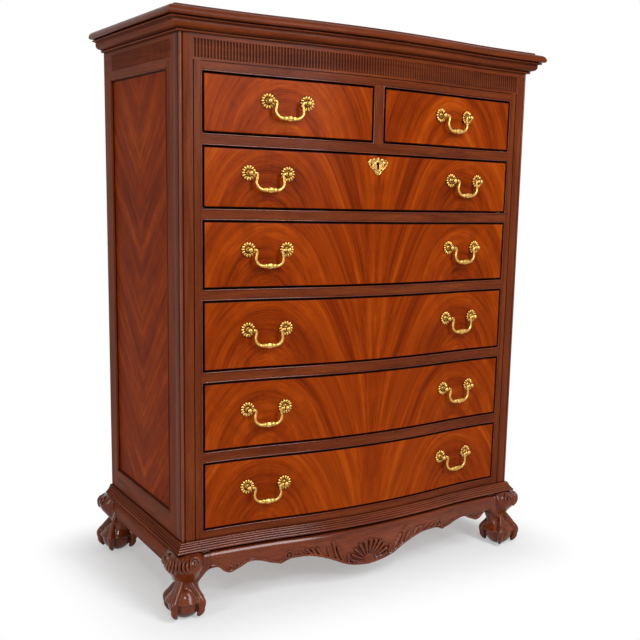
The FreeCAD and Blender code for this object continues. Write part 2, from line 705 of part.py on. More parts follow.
def frieze():
    """Fluted board over the drawers."""
    half = f"({HALF} - Dims.post_width)"
    turn_x = f"({BOW_HALF} / 2)"
    turn_y = f"({FRONT} - Dims.bow_depth + {BOW_RADIUS} - {BOW_RADIUS} * {BOW_COSINE})"
    back = f"({FRONT} + Dims.frieze_thickness)"
    plan = [
        (f"-{half}", FRONT, (BOW_RADIUS, -1)),
        (f"-{turn_x}", turn_y, (BOW_RADIUS, 1)),
        (turn_x, turn_y, (BOW_RADIUS, -1)),
        (half, FRONT, LINE),
        (half, back, LINE),
        (f"-{half}", back, LINE),
    ]
    plain = prism("frieze_plain", "top", plan, f"({TOP} - {FRIEZE})", z=FRIEZE)
    count = int(2 * num(half) / num("Dims.flute_pitch"))
    flutes = []
    for i in range(count):
        x = f"(-{half} + ({i} + 0.5) * 2 * {half} / {count})"
        from_middle = x if num(x) >= 0 else f"(0 - {x})"
        flute = doc.addObject("Part::Cylinder", f"frieze_flute_{i}")
        flute.setExpression("Radius", "Dims.flute_radius")
        flute.setExpression("Height", "Dims.flute_length")
        place(flute, x, f"({bow_y(from_middle)} - Dims.flute_sink)",
              f"({FRIEZE} + Dims.flute_low)")
        flutes.append(flute)
    cut("fluted_frieze", plain, group("frieze_flutes", flutes))


def back_and_inside():
    """Back panel, drawer runners with their guides, and dust panels."""
    board("back_panel", f"(-{INNER})", f"({BACK} - Dims.back_thickness)", CASE,
          f"(2 * {INNER})", "Dims.back_thickness", f"({TOP} - {CASE})")
    run = f"({BACK} - Dims.back_thickness - {RAIL_BACK})"
    shelf = f"({OPEN} - Dims.runner_shelf)"
    half = "(Dims.divider_width / 2)"
    wide = f"({half} + Dims.runner_shelf)"
    runners = []
    dust = []
    for row in range(1, ROWS + 1):
        top = OPENING_BOTTOM[row]
        low = f"({top} - Dims.runner_height)"
        for name, x, z, width, height in (
                ("runner", shelf, low, f"({INNER} - {shelf})", "Dims.runner_height"),
                ("guide", OPEN, top, f"({INNER} - {OPEN})", "Dims.guide_height")):
            right = board(f"{name}_{row}_right", x, RAIL_BACK, z, width, run, height)
            runners += [right, mirrored(f"{name}_{row}_left", right)]
        dust_z = f"({top} - Dims.runner_height / 2 - Dims.dust_thickness / 2)"
        if row > 1:
            dust.append(board(f"dust_{row}", f"(0 - {shelf})", RAIL_BACK, dust_z,
                              f"(2 * {shelf})", run, "Dims.dust_thickness"))
            continue
        runners.append(board("runner_1_middle", f"(0 - {wide})", RAIL_BACK, low,
                             f"(2 * {wide})", run, "Dims.runner_height"))
        runners.append(board("guide_1_middle", f"(0 - {half})", RAIL_BACK, top,
                             f"(2 * {half})", run, "Dims.guide_height"))
        right_dust = board("dust_1_right", wide, RAIL_BACK, dust_z, f"({shelf} - {wide})", run,
                           "Dims.dust_thickness")
        dust += [right_dust, mirrored("dust_1_left", right_dust)]
    group("drawer_runners", runners)
    group("dust_panels", dust)


# ---------------------------------------------------------------- base
APRON_END = f"({HALF} - {LEG_BLOCK})"


def base_moulding():
    """Reeded frame under the case, mitred at the front, with a plain member at the back."""
    inward = "Dims.base_frame_width"
    members = mitred_set("base", base_profile(), LEG_TOP, inward,
                         "(Dims.case_depth + 2 * Dims.top_reach)")
    members.append(board("base_back", f"(-{HALF} + {inward})", f"({BACK} - {inward})", LEG_TOP,
                         f"(2 * ({HALF} - {inward}))", inward, "Dims.base_moulding_height"))
    group("base_moulding_frame", members)


def apron_section(height):
    """Section of an apron (out, up), its face swelling between top and foot."""
    swell = f"(({height}^2 / 4 + Dims.apron_bulge^2) / (2 * Dims.apron_bulge))"
    inside = "(Dims.apron_top_out - Dims.apron_thickness)"
    return [
        ("Dims.apron_top_out", "0", LINE),
        (inside, "0", LINE),
        (inside, f"(0 - {height})", LINE),
        ("Dims.apron_top_out", f"(0 - {height})", (swell, 1)),
    ]


def arc_radius(width, rise):
    """Radius of an arc of a given width and rise."""
    return f"(({width})^2 / 4 + ({rise})^2) / (2 * ({rise}))"


# The lower edge of the front apron's right half, from its end to the middle: where each
# stretch starts, as a share of the half length, its depth, and which way it bends.
APRON_EDGE = [
    (1.0, "Dims.apron_step", "arch"),
    (0.905, "Dims.apron_step", "lobe"),
    (0.8, "Dims.apron_step", "arch"),
    (0.645, "Dims.apron_step", "lobe"),
    (0.53, "Dims.apron_step", LINE),
    (0.37, "(Dims.apron_step + Dims.apron_lobe / 2)", LINE),
    (0.13, "Dims.apron_shoulder", "drop"),
]


def apron_face():
    """Front view of the front apron: arches, lobes and the middle drop."""
    points = [(APRON_END, LEG_TOP, LINE)]
    left = []
    for i, (share, depth, bend) in enumerate(APRON_EDGE):
        z = f"({LEG_TOP} - {depth})"
        after = APRON_EDGE[i + 1][0] if i + 1 < len(APRON_EDGE) else -share
        width = f"({APRON_END} * {share - after:.4f})"
        segment = LINE
        if bend == "arch":
            segment = (arc_radius(width, "Dims.apron_arch"), 1)
        elif bend == "lobe":
            segment = (arc_radius(width, "Dims.apron_lobe"), -1)
        elif bend == "drop":
            segment = (arc_radius(width, "Dims.apron_drop - Dims.apron_shoulder"), -1)
        points.append((f"({APRON_END} * {share})", z, segment))
        before = points[-2][2] if i else LINE
        left.insert(0, (f"({APRON_END} * {-share})", z, before))
    points += left
    points.append((f"(0 - {APRON_END})", LEG_TOP, LINE))
    depth = "(Dims.bow_depth + Dims.top_reach + Dims.apron_thickness)"
    return prism("apron_face", "front", points, f"(2 * {depth})",
                 y=f"({FRONT} + {depth})")


RIBS = 9
RIB_SPREAD = 150


def apron_shell():
    """Carved shell at the middle of the front apron: ribs fanning up from its foot."""
    foot_z = f"({LEG_TOP} - Dims.apron_drop + Dims.rib_radius)"
    face_y = (f"({FRONT} - Dims.bow_depth - Dims.apron_top_out - Dims.apron_bulge"
              " + Dims.rib_radius / 3)")
    ribs = []
    for i in range(RIBS):
        angle = -RIB_SPREAD / 2 + RIB_SPREAD * i / (RIBS - 1)
        rib = doc.addObject("Part::Cone", f"shell_rib_{i}")
        rib.setExpression("Radius1", "Dims.rib_radius / 2")
        rib.setExpression("Radius2", "Dims.rib_radius * 1.15")
        rib.setExpression("Height", "Dims.shell_radius")
        rib.Placement = FreeCAD.Placement(Vector(), FreeCAD.Rotation(Vector(0, 1, 0), angle))
        place(rib, "0", face_y, foot_z)
        tip = doc.addObject("Part::Sphere", f"shell_tip_{i}")
        tip.setExpression("Radius", "Dims.rib_radius * 1.15")
        place(tip, f"(Dims.shell_radius * {math.sin(math.radians(angle)):.5f})", face_y,
              f"({foot_z} + Dims.shell_radius * {math.cos(math.radians(angle)):.5f})")
        ribs += [rib, tip]
    hub = doc.addObject("Part::Sphere", "shell_hub")
    hub.setExpression("Radius", "Dims.rib_radius * 1.3")
    place(hub, "0", face_y, foot_z)
    return ribs + [hub]


def aprons():
    """Aprons on all four sides of the base."""
    section = apron_section("(Dims.apron_drop + Dims.apron_bulge)")
    swell = common("apron_blank", swept("apron_sweep", section, LEG_TOP), apron_face())
    fuse("front_apron", [swell] + apron_shell())
    side = apron_section("Dims.side_apron_height")
    length = f"(Dims.case_depth - 2 * {LEG_BLOCK} - {REAR_SHIFT})"
    profile = free_sketch("side_apron_profile", side, FreeCAD.Placement(Vector(), ENDWAYS))
    place(profile, f"-{HALF}", f"({FRONT} + {LEG_BLOCK})", LEG_TOP)
    run = doc.addObject("Part::Extrusion", "left_apron")
    run.Label = "left_apron"
    run.Base = profile
    run.DirMode = "Custom"
    run.Dir = Vector(0, 1, 0)
    run.setExpression("LengthFwd", length)
    run.Solid = True
    mirrored("right_apron", run)
    board("rear_apron", f"(-{APRON_END})", f"({BACK} - Dims.apron_thickness)",
          f"({LEG_TOP} - Dims.side_apron_height)", f"(2 * {APRON_END})",
          "Dims.apron_thickness", "Dims.side_apron_height")
    blocks = []
    size = "Dims.glue_block"
    inner_face = f"({HALF} + Dims.apron_top_out - Dims.apron_thickness)"
    for name, y in (("front", f"({FRONT} + {LEG_BLOCK})"),
                    ("rear", f"({BACK} - {REAR_SHIFT} - {LEG_BLOCK} - {size})")):
        block = board(f"glue_block_{name}", f"({inner_face} - {size})", y,
                      f"({LEG_TOP} - {size})", size, size, size)
        blocks += [block, mirrored(f"glue_block_{name}_left", block)]
    group("glue_blocks", blocks)


# ---------------------------------------------------------------- legs
def leg_rings():
    """Rings of the cabriole shaft from its top down: height, inset, radius."""
    knee = f"({LEG_TOP} - Dims.knee_drop)"
    calf = f"({knee} - Dims.knee_length)"
    crown = "(Dims.ball_radius - Dims.ball_flat)"
    return [
        (LEG_TOP, "Dims.leg_top_inset", "Dims.leg_top_radius"),
        (f"({knee} + Dims.knee_drop * 0.6)", "Dims.knee_inset * 1.2", "Dims.knee_radius * 0.91"),
        (knee, "Dims.knee_inset", "Dims.knee_radius"),
        (f"(({knee} + {calf}) / 2)", "Dims.knee_inset", "Dims.knee_radius * 0.94"),
        (calf, "(Dims.knee_inset + Dims.ankle_inset) / 2",
         "(Dims.knee_radius + Dims.ankle_radius) / 2"),
        ("Dims.ankle_height", "Dims.ankle_inset", "Dims.ankle_radius"),
        (f"((Dims.ankle_height + {crown}) / 2)", "(Dims.ankle_inset + Dims.foot_inset) / 2",
         "(Dims.ankle_radius + Dims.ball_radius) / 2"),
        (f"({crown} + Dims.ball_cover)", "Dims.foot_inset", "Dims.ball_radius * 0.97"),
    ]


TALONS = 4


def leg():
    """Cabriole leg of the front left corner, its axes measured from the case corner."""
    rings = []
    for i, (z, inset, radius) in enumerate(leg_rings()):
        ring = doc.addObject("Part::Circle", f"leg_ring_{i}")
        ring.setExpression("Radius", radius)
        place(ring, inset, inset, z)
        rings.append(ring)
    shaft = doc.addObject("Part::Loft", "leg_shaft")
    shaft.Sections = rings
    shaft.Solid = True
    shaft.Ruled = False
    block = board("leg_top_block", "(0 - Dims.apron_top_out)", "(0 - Dims.apron_top_out)",
                  f"({LEG_TOP} - Dims.block_height)", f"({LEG_BLOCK} + Dims.apron_top_out)",
                  f"({LEG_BLOCK} + Dims.apron_top_out)", "Dims.block_height")
    ball_z = "(Dims.ball_radius - Dims.ball_flat)"
    ball = doc.addObject("Part::Sphere", "leg_ball")
    ball.setExpression("Radius", "Dims.ball_radius")
    place(ball, "Dims.foot_inset", "Dims.foot_inset", ball_z)
    parts = [shaft, block, ball]
    upright = FreeCAD.Rotation(Vector(1, 0, 0), 90)
    tilt = FreeCAD.Rotation(Vector(0, 0, 1), -num("Dims.talon_start"))
    for i in range(TALONS):
        talon = doc.addObject("Part::Torus", f"leg_talon_{i}")
        talon.setExpression("Radius1", "Dims.talon_ring")
        talon.setExpression("Radius2", "Dims.talon_radius")
        talon.setExpression("Angle3", "Dims.talon_sweep")
        turn = FreeCAD.Rotation(Vector(0, 0, 1), 45 + 360 / TALONS * i)
        talon.Placement = FreeCAD.Placement(Vector(), turn.multiply(upright).multiply(tilt))
        place(talon, "Dims.foot_inset", "Dims.foot_inset", ball_z)
        parts.append(talon)
    whole = fuse("leg_whole", parts)
    ground = board("leg_ground", "(-2 * Dims.knee_radius)", "(-2 * Dims.knee_radius)",
                   "(-2 * Dims.ball_radius)", "(4 * Dims.knee_radius)",
                   "(4 * Dims.knee_radius)", "(2 * Dims.ball_radius)")
    return cut("leg_pattern", whole, ground)


def legs():
    """The same leg at all four corners."""
    pattern = leg()
    left = placed_copy("front_left_leg", pattern, f"(0 - {HALF})", FRONT)
    mirrored("front_right_leg", left)
    rear_pattern = doc.addObject("Part::Mirroring", "rear_leg_pattern")
    rear_pattern.Source = pattern
    rear_pattern.Base = Vector(0, 0, 0)
    rear_pattern.Normal = Vector(0, 1, 0)
    rear_left = placed_copy("rear_left_leg", rear_pattern, f"(0 - {HALF})",
                            f"({BACK} - {REAR_SHIFT})")
    mirrored("rear_right_leg", rear_left)


# ---------------------------------------------------------------- pulls
PETALS = 14


def across(kind, name, radius, length, x="0", y="0", z="0", axis="y"):
    """Cylinder lying along -Y, or along +X, from a place."""
    rod = doc.addObject(kind, name)
    rod.setExpression("Circumradius" if kind == "Part::Prism" else "Radius", radius)
    rod.setExpression("Height", length)
    about = Vector(1, 0, 0) if axis == "y" else Vector(0, 1, 0)
    rod.Placement = FreeCAD.Placement(Vector(), FreeCAD.Rotation(about, 90))
    return place(rod, x, y, z)


def pull_post():
    """Rosette and post of a pull; the drawer's face is the plane y = 0."""
    disc = across("Part::Cylinder", "rosette_disc", "Dims.rosette_radius",
                  "(Dims.rosette_thickness + Dims.rosette_seat)", y="Dims.rosette_seat")
    parts = [disc]
    for i in range(PETALS):
        angle = 2 * math.pi * i / PETALS
        petal = doc.addObject("Part::Sphere", f"rosette_petal_{i}")
        petal.setExpression("Radius", "Dims.petal_radius")
        place(petal, f"(Dims.rosette_radius * {math.cos(angle):.5f})",
              "(0 - Dims.rosette_thickness / 2)",
              f"(Dims.rosette_radius * {math.sin(angle):.5f})")
        parts.append(petal)
    parts.append(across("Part::Cylinder", "post_neck", "Dims.post_radius", "Dims.post_reach"))
    head = doc.addObject("Part::Sphere", "post_ball")
    head.setExpression("Radius", "Dims.post_head")
    parts.append(place(head, "0", "(0 - Dims.post_reach)"))
    hole = across("Part::Cylinder", "post_hole", "(Dims.pin_radius + Dims.pin_clearance)",
                  "(4 * Dims.post_head)", "(-2 * Dims.post_head)", "(0 - Dims.post_reach)",
                  axis="x")
    return cut("post_pattern", fuse("post_body", parts), hole)


def nut():
    """Nut that holds a post's shank inside the drawer, its seat on the plane y = 0."""
    blank = across("Part::Prism", "nut_blank", "Dims.nut_radius", "Dims.nut_height",
                   y="Dims.nut_height")
    hole = across("Part::Cylinder", "nut_hole", "(Dims.shank_radius + Dims.nut_clearance)",
                  "(3 * Dims.nut_height)", y="(2 * Dims.nut_height)")
    return cut("nut_pattern", blank, hole)


def bail():
    """Swan-necked bail hanging from its pivot axis, which is the X axis through 0."""
    turn = "Dims.bail_turn"
    knee_x = "(Dims.pull_boring / 2 - Dims.post_head - 2 * Dims.bail_boss)"
    sway_angle = "asin(Dims.sway_drop / Dims.bail_sway)"
    sway_x = f"({knee_x} + Dims.bail_sway * (1 - cos({sway_angle})))"
    sway_z = f"(0 - {turn} - Dims.sway_drop)"
    low = "(0 - Dims.bail_drop)"
    corner = f"((Dims.bail_drop - {turn} - Dims.sway_drop) / (1 + sin({sway_angle})))"
    low_x = f"({sway_x} - {corner} * cos({sway_angle}))"
    body = new_body("bail_pattern")
    path = body_sketch(body, "front", "bail_path")
    draw(path, [
        (f"(0 - {knee_x} - {turn})", "0", (turn, -1)),
        (f"(0 - {knee_x})", f"(0 - {turn})", ("Dims.bail_sway", -1)),
        (f"(0 - {sway_x})", sway_z, (corner, 1)),
        (f"(0 - {low_x})", low, LINE),
        (low_x, low, (corner, 1)),
        (sway_x, sway_z, ("Dims.bail_sway", -1)),
        (knee_x, f"(0 - {turn})", (turn, -1)),
        (f"({knee_x} + {turn})", "0", LINE),
    ], closed=False)
    ring = circle_sketch(body, "bail_ring", "Dims.bail_radius", f"(0 - {knee_x} - {turn})")
    wire = body.newObject("PartDesign::AdditivePipe", "bail_wire")
    wire.Profile = ring
    wire.Spine = (path, [f"Edge{i + 1}" for i in range(7)])
    spindle = body_sketch(body, "front", "bail_grip_sketch")
    half = "(Dims.grip_length / 2)"
    waist = "(Dims.grip_radius * 0.6)"
    swell = "(Dims.grip_length * 0.22)"
    draw(spindle, [
        (f"(0 - {half})", low, LINE),
        (f"(0 - {half})", f"({low} + {waist})", LINE),
        (f"(0 - {swell})", f"({low} + Dims.grip_radius)", LINE),
        (swell, f"({low} + Dims.grip_radius)", LINE),
        (half, f"({low} + {waist})", LINE),
        (half, low, LINE),
    ])
    grip = body.newObject("PartDesign::Revolution", "bail_grip")
    grip.Profile = spindle
    grip.ReferenceAxis = (spindle, ["Edge6"])
    grip.Angle = 360
    boss_x = f"({knee_x} + {turn} - Dims.bail_boss / 2)"
    boss_end = "(Dims.pull_boring / 2 - Dims.post_head - Dims.boss_gap)"
    pin_end = "(Dims.pull_boring / 2 + Dims.post_head / 2)"
    added = []
    for name, radius, start, end in (("boss", "Dims.bail_boss", boss_x, boss_end),
                                     ("pin", "Dims.pin_radius", boss_x, pin_end)):
        sketch = circle_sketch(body, f"bail_{name}_sketch", radius, start)
        feature = body.newObject("PartDesign::Pad", f"bail_{name}")
        feature.Profile = sketch
        feature.setExpression("Length", f"({end} - {start})")
        added.append(feature)
    flip = body.newObject("PartDesign::Mirrored", "bail_far_end")
    flip.Originals = added
    middle = [item for item in body.Origin.OriginFeatures if item.Role == PLANES["side"]][0]
    flip.MirrorPlane = (middle, [""])
    body.Tip = flip
    return body


def circle_sketch(body, name, radius, x):
    """Circle round the X axis, at x along it."""
    sketch = body_sketch(body, "side", name)
    sketch.addGeometry(Part.Circle(Vector(), Vector(0, 0, 1), num(radius)), False)
    sketch.addConstraint(Sketcher.Constraint("Coincident", 0, 3, -1, 1))
    at = sketch.addConstraint(Sketcher.Constraint("Radius", 0, num(radius)))
    sketch.setExpression(f"Constraints[{at}]", radius)
    sketch.setExpression("AttachmentOffset.Base.z", x)
    return sketch


POST = pull_post()
BAIL = bail()
NUT = nut()


def pull_places(x, row):
    """Slope of a pull at x on the right, its height, and the places of its two posts."""
    slope = f"asin(({BOW_HALF} - {x}) / {BOW_RADIUS})"
    z = f"({OPENING_BOTTOM[row]} + Dims.opening_{row} / 2 + Dims.pull_rise)"
    posts = []
    for way in (-1, 1):
        reach = f"({way} * Dims.pull_boring / 2)"
        posts.append((f"({x} + {reach} * cos({slope}))",
                      f"({hollow_y(x)} + {reach} * sin({slope}))"))
    return slope, z, posts


def pull_bores(name, x, row):
    """Bores through a drawer front for the shanks of one pull on the right."""
    slope, z, posts = pull_places(x, row)
    length = "(Dims.front_thickness + 2 * Dims.bow_depth)"
    radius = "(Dims.shank_radius + Dims.shank_clearance)"
    bores = [across("Part::Cylinder", f"{name}_bore_{i}", radius, length, post_x,
                    f"({FRONT_BACK} + 1)", z)
             for i, (post_x, post_y) in enumerate(posts)]
    return group(f"{name}_bores", bores)


def pull(name, x, row, front):
    """One pull on the right: its posts fitted to the front, their nuts, and its bail."""
    slope, z, posts = pull_places(x, row)
    fittings = []
    for i, (post_x, post_y) in enumerate(posts):
        blank = placed_copy(f"{name}_post_{i}_blank", POST, post_x, post_y, z, slope)
        tail = "(Dims.nut_height + Dims.shank_end)"
        shank = across("Part::Cylinder", f"{name}_shank_{i}", "Dims.shank_radius",
                       f"({FRONT_BACK} + {tail} - {post_y})", post_x,
                       f"({FRONT_BACK} + {tail})", z)
        whole = fuse(f"{name}_post_{i}_whole", [blank, shank])
        fittings.append(cut(f"{name}_post_{i}", whole, front))
        fittings.append(placed_copy(f"{name}_nut_{i}", NUT, post_x, FRONT_BACK, z))
    bail_x = f"({x} + Dims.post_reach * sin({slope}))"
    bail_y = f"({hollow_y(x)} - Dims.post_reach * cos({slope}))"
    hanging = placed_copy(f"{name}_bail", BAIL, bail_x, bail_y, z, slope)
    return group(f"{name}_fittings", fittings), hanging


# ---------------------------------------------------------------- drawers
def plain_front(name, row, left=None, right=None):
    """Drawer front: a plate that clears the opening, and the smaller face in front of it."""
    gap = "Dims.drawer_gap"
    inset = "(Dims.drawer_gap + Dims.rebate_width)"
    body = new_body(name)
    height = f"Dims.opening_{row}"
    if left is None:
        plate = bowed_outline(FRONT_BACK, half=f"({OPEN} - {gap})", sink="Dims.rebate_depth")
        face = bowed_outline(FRONT_BACK, half=f"({OPEN} - {inset})")
    else:
        plate = bowed_outline(FRONT_BACK, left=f"({left} + {gap})", right=f"({right} - {gap})",
                              sink="Dims.rebate_depth")
        face = bowed_outline(FRONT_BACK, left=f"({left} + {inset})",
                             right=f"({right} - {inset})")
    pad(body, "top", plate, f"({height} - 2 * {gap})", offset=gap)
    pad(body, "top", face, f"({height} - 2 * {inset})", offset=inset)
    return place(body, z=OPENING_BOTTOM[row])


def drawer_box(name, row, left, right):
    """Sides, back and bottom of a drawer between left and right."""
    low = f"({OPENING_BOTTOM[row]} + Dims.drawer_lift)"
    height = f"(Dims.opening_{row} - Dims.side_drop)"
    side = "Dims.drawer_side"
    length = DRAWER_LENGTH
    inner = f"({right} - {left} - 2 * {side})"
    back_y = f"({FRONT_BACK} + {length} - {side})"
    pieces = [
        board(f"{name}_left", left, FRONT_BACK, low, side, length, height),
        board(f"{name}_right", f"({right} - {side})", FRONT_BACK, low, side, length, height),
        board(f"{name}_back", f"({left} + {side})", back_y, low, inner, side, height),
        board(f"{name}_bottom", f"({left} + {side})", FRONT_BACK, f"({low} + Dims.bottom_lift)",
              inner, f"({length} - {side})", "Dims.bottom_thickness"),
    ]
    return group(name, pieces)


def keyhole_outline():
    """Keyhole seen from the front, round above and slotted below."""
    radius = "Dims.keyhole_radius"
    half = "(Dims.keyhole_slot / 2)"
    joint = f"(0 - sqrt({radius}^2 - {half}^2))"
    foot = f"(0 - {radius} - Dims.keyhole_length)"
    return [
        (half, joint, (radius, 1)),
        ("0", radius, (radius, 1)),
        (f"(0 - {half})", joint, LINE),
        (f"(0 - {half})", foot, LINE),
        (half, foot, LINE),
    ]


KEYHOLE_Z = f"({OPENING_BOTTOM[2]} + Dims.opening_2 - Dims.keyhole_drop)"


def long_drawers():
    """Five drawers across the whole width, each with two pulls."""
    for row in range(2, ROWS + 1):
        name = f"long_drawer_{row - 1}"
        bores = pull_bores(name, "Dims.long_pull_x", row)
        holes = [bores, mirrored(f"{name}_far_bores", bores)]
        if row == 2:
            holes.append(prism("keyhole_bore", "front", keyhole_outline(),
                               "(2 * Dims.bow_depth + Dims.front_thickness)",
                               y=f"({FRONT_BACK} + 1)", z=KEYHOLE_Z))
        front = cut(f"{name}_front", plain_front(f"{name}_blank", row),
                    group(f"{name}_holes", holes))
        drawer_box(f"{name}_box", row, f"(0 - {DRAWER_HALF})", DRAWER_HALF)
        fittings, hanging = pull(f"{name}_right", "Dims.long_pull_x", row, front)
        group(f"{name}_pull_posts", [fittings, mirrored(f"{name}_left_fittings", fittings)])
        mirrored(f"{name}_left_bail", hanging)


def top_drawers():
    """Two half-width drawers in the top row, each with one pull."""
    inner = "(Dims.divider_width / 2)"
    name = "top_right_drawer"
    front = cut(f"{name}_front", plain_front(f"{name}_blank", 1, left=inner, right=OPEN),
                pull_bores(name, "Dims.short_pull_x", 1))
    mirrored("top_left_drawer_front", front)
    box = drawer_box(f"{name}_box", 1, f"({inner} + Dims.drawer_slack)", DRAWER_HALF)
    mirrored("top_left_drawer_box", box)
    fittings, hanging = pull(name, "Dims.short_pull_x", 1, front)
    mirrored("top_left_drawer_pull_posts", group(f"{name}_pull_posts", [fittings]))
    mirrored("top_left_drawer_bail", hanging)


def lock():
    """Escutcheon, lock case and sliding bolt of the first long drawer."""
    half = "(Dims.escutcheon_width / 2)"
    high = "(Dims.escutcheon_height / 2)"
    shield = [
        (half, f"({high} * 0.35)", LINE),
        (f"({half} * 0.72)", f"({high} * 0.62)", LINE),
        (f"({half} * 0.3)", f"({high} * 0.7)", LINE),
        ("0", high, LINE),
        (f"({half} * -0.3)", f"({high} * 0.7)", LINE),
        (f"({half} * -0.72)", f"({high} * 0.62)", LINE),
        (f"(0 - {half})", f"({high} * 0.35)", LINE),
        (f"({half} * -0.62)", f"({high} * -0.25)", LINE),
        (f"({half} * -0.3)", f"({high} * -0.62)", LINE),
        ("0", f"(0 - {high})", LINE),
        (f"({half} * 0.3)", f"({high} * -0.62)", LINE),
        (f"({half} * 0.62)", f"({high} * -0.25)", LINE),
    ]
    plate = prism("escutcheon_blank", "front", shield, "Dims.escutcheon_thickness",
                  y=f"({FRONT} - Dims.bow_depth)", z=f"({KEYHOLE_Z} - Dims.escutcheon_drop)")
    hole = prism("escutcheon_hole", "front", keyhole_outline(),
                 "(4 * Dims.escutcheon_thickness)",
                 y=f"({FRONT} - Dims.bow_depth + Dims.escutcheon_thickness)", z=KEYHOLE_Z)
    cut("escutcheon", plate, hole)
    top = f"({OPENING_BOTTOM[2]} + Dims.opening_2 - Dims.drawer_gap)"
    case = board("lock_case_blank", "(0 - Dims.lock_width / 2)", FRONT_BACK,
                 f"({top} - Dims.lock_height)", "Dims.lock_width", "Dims.lock_thickness",
                 "Dims.lock_height")
    slack = "Dims.bolt_clearance"
    length = "(Dims.lock_height / 2)"
    slot = board("lock_slot", f"(0 - Dims.bolt_width / 2 - {slack})", f"({BOLT_Y} - {slack})",
                 f"({top} - {length} - {slack})", f"(Dims.bolt_width + 2 * {slack})",
                 f"(Dims.bolt_thickness + 2 * {slack})", f"({length} + 2 * {slack} + 5)")
    cut("lock_case", case, slot)
    board("lock_bolt", "(0 - Dims.bolt_width / 2)", BOLT_Y, f"({top} - {length})",
          "Dims.bolt_width", "Dims.bolt_thickness", length)


# ---------------------------------------------------------------- build and write
SUB_PARTS = [
    "top_board", "cornice_moulding", "fluted_frieze", "left_corner_post", "right_corner_post",
    "left_side_frame", "right_side_frame", "left_side_panel", "right_side_panel", "face_frame",
    "centre_divider", "drawer_runners", "dust_panels", "back_panel", "base_moulding_frame",
    "front_apron", "left_apron", "right_apron", "rear_apron", "glue_blocks", "front_left_leg",
    "front_right_leg", "rear_left_leg", "rear_right_leg", "escutcheon", "lock_case", "lock_bolt",
]
DRAWERS = ["top_left_drawer", "top_right_drawer"] + [f"long_drawer_{i}" for i in range(1, ROWS)]
for drawer in DRAWERS:
    SUB_PARTS += [f"{drawer}_front", f"{drawer}_box", f"{drawer}_pull_posts"]
SUB_PARTS += ["top_left_drawer_bail", "top_right_drawer_bail"]
for drawer in DRAWERS[2:]:
    SUB_PARTS += [f"{drawer}_left_bail", f"{drawer}_right_bail"]


def build():
    """Make every sub-part."""
    cornice_and_top()
    corner_post()
    side_walls()
    face_frame()
    frieze()
    back_and_inside()
    base_moulding()
    aprons()
    legs()
    long_drawers()
    top_drawers()
    lock()
    doc.recompute()


def write():
    """Check every object, then write one STEP file for each sub-part."""
    failed = [item.Label for item in doc.Objects if {"Invalid", "Error"} & set(item.State)]
    if failed:
        raise RuntimeError(f"objects that did not compute: {failed}")
    os.makedirs("parts", exist_ok=True)
    for name in SUB_PARTS:
        shape = doc.getObjectsByLabel(name)[0].Shape
        if shape.isNull() or not shape.isValid() or not shape.Solids:
            raise RuntimeError(f"bad shape: {name}")
        shape.exportStep(f"parts/{name}.step")


build()
write()
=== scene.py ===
import json
import math

import bmesh
import bpy
import numpy as np
from mathutils import Matrix, Vector


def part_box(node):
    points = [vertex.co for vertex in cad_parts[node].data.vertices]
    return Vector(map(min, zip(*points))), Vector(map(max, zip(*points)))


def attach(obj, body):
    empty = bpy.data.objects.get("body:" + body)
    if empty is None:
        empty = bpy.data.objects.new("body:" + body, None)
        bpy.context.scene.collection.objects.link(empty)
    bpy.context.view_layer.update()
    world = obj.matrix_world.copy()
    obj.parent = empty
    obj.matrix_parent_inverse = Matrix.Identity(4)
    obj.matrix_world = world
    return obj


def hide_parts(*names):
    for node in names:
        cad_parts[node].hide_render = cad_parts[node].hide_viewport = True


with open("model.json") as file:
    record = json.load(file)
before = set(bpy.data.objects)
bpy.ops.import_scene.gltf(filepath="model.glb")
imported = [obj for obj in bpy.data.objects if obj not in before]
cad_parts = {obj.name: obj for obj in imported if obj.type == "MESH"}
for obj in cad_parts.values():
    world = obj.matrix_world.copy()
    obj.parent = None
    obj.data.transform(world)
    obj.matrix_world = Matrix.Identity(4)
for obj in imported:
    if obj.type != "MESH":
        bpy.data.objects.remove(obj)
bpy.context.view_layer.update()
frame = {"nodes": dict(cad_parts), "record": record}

# Lengths in this script are millimetres until a mesh is made.
MM = 0.001
RECORD = frame["record"]
BODIES = RECORD["behaviour"]["bodies"]


# ---- sizes read from the frame
def span(node):
    """Lowest and highest corner of a CAD node, in millimetres."""
    low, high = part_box(node)
    return np.array(low) / MM, np.array(high) / MM


POST_LOW, POST_HIGH = span("left_corner_post")
HALF = -POST_LOW[0]
FRONT = POST_LOW[1]
CASE = POST_LOW[2]
TOP = POST_HIGH[2]
BOW_HALF = -POST_HIGH[0]
BACK = span("back_panel")[1][1]
FRIEZE = span("fluted_frieze")[0][2]
CORNICE = TOP - (span("cornice_moulding")[1][2] - span("cornice_moulding")[0][2])
BOW = FRONT - span("long_drawer_2_front")[0][1]
BOW_RADIUS = (BOW_HALF ** 2 + BOW ** 2) / (4 * BOW)
GAP = 1.5
OPEN = span("long_drawer_2_front")[1][0] + GAP
DIVIDER = span("centre_divider")[1][0]
LEG_TOP = span("front_left_leg")[1][2]
LONG_DRAWERS = [f"long_drawer_{i}" for i in range(1, 6)]
TOP_DRAWERS = ["top_left_drawer", "top_right_drawer"]


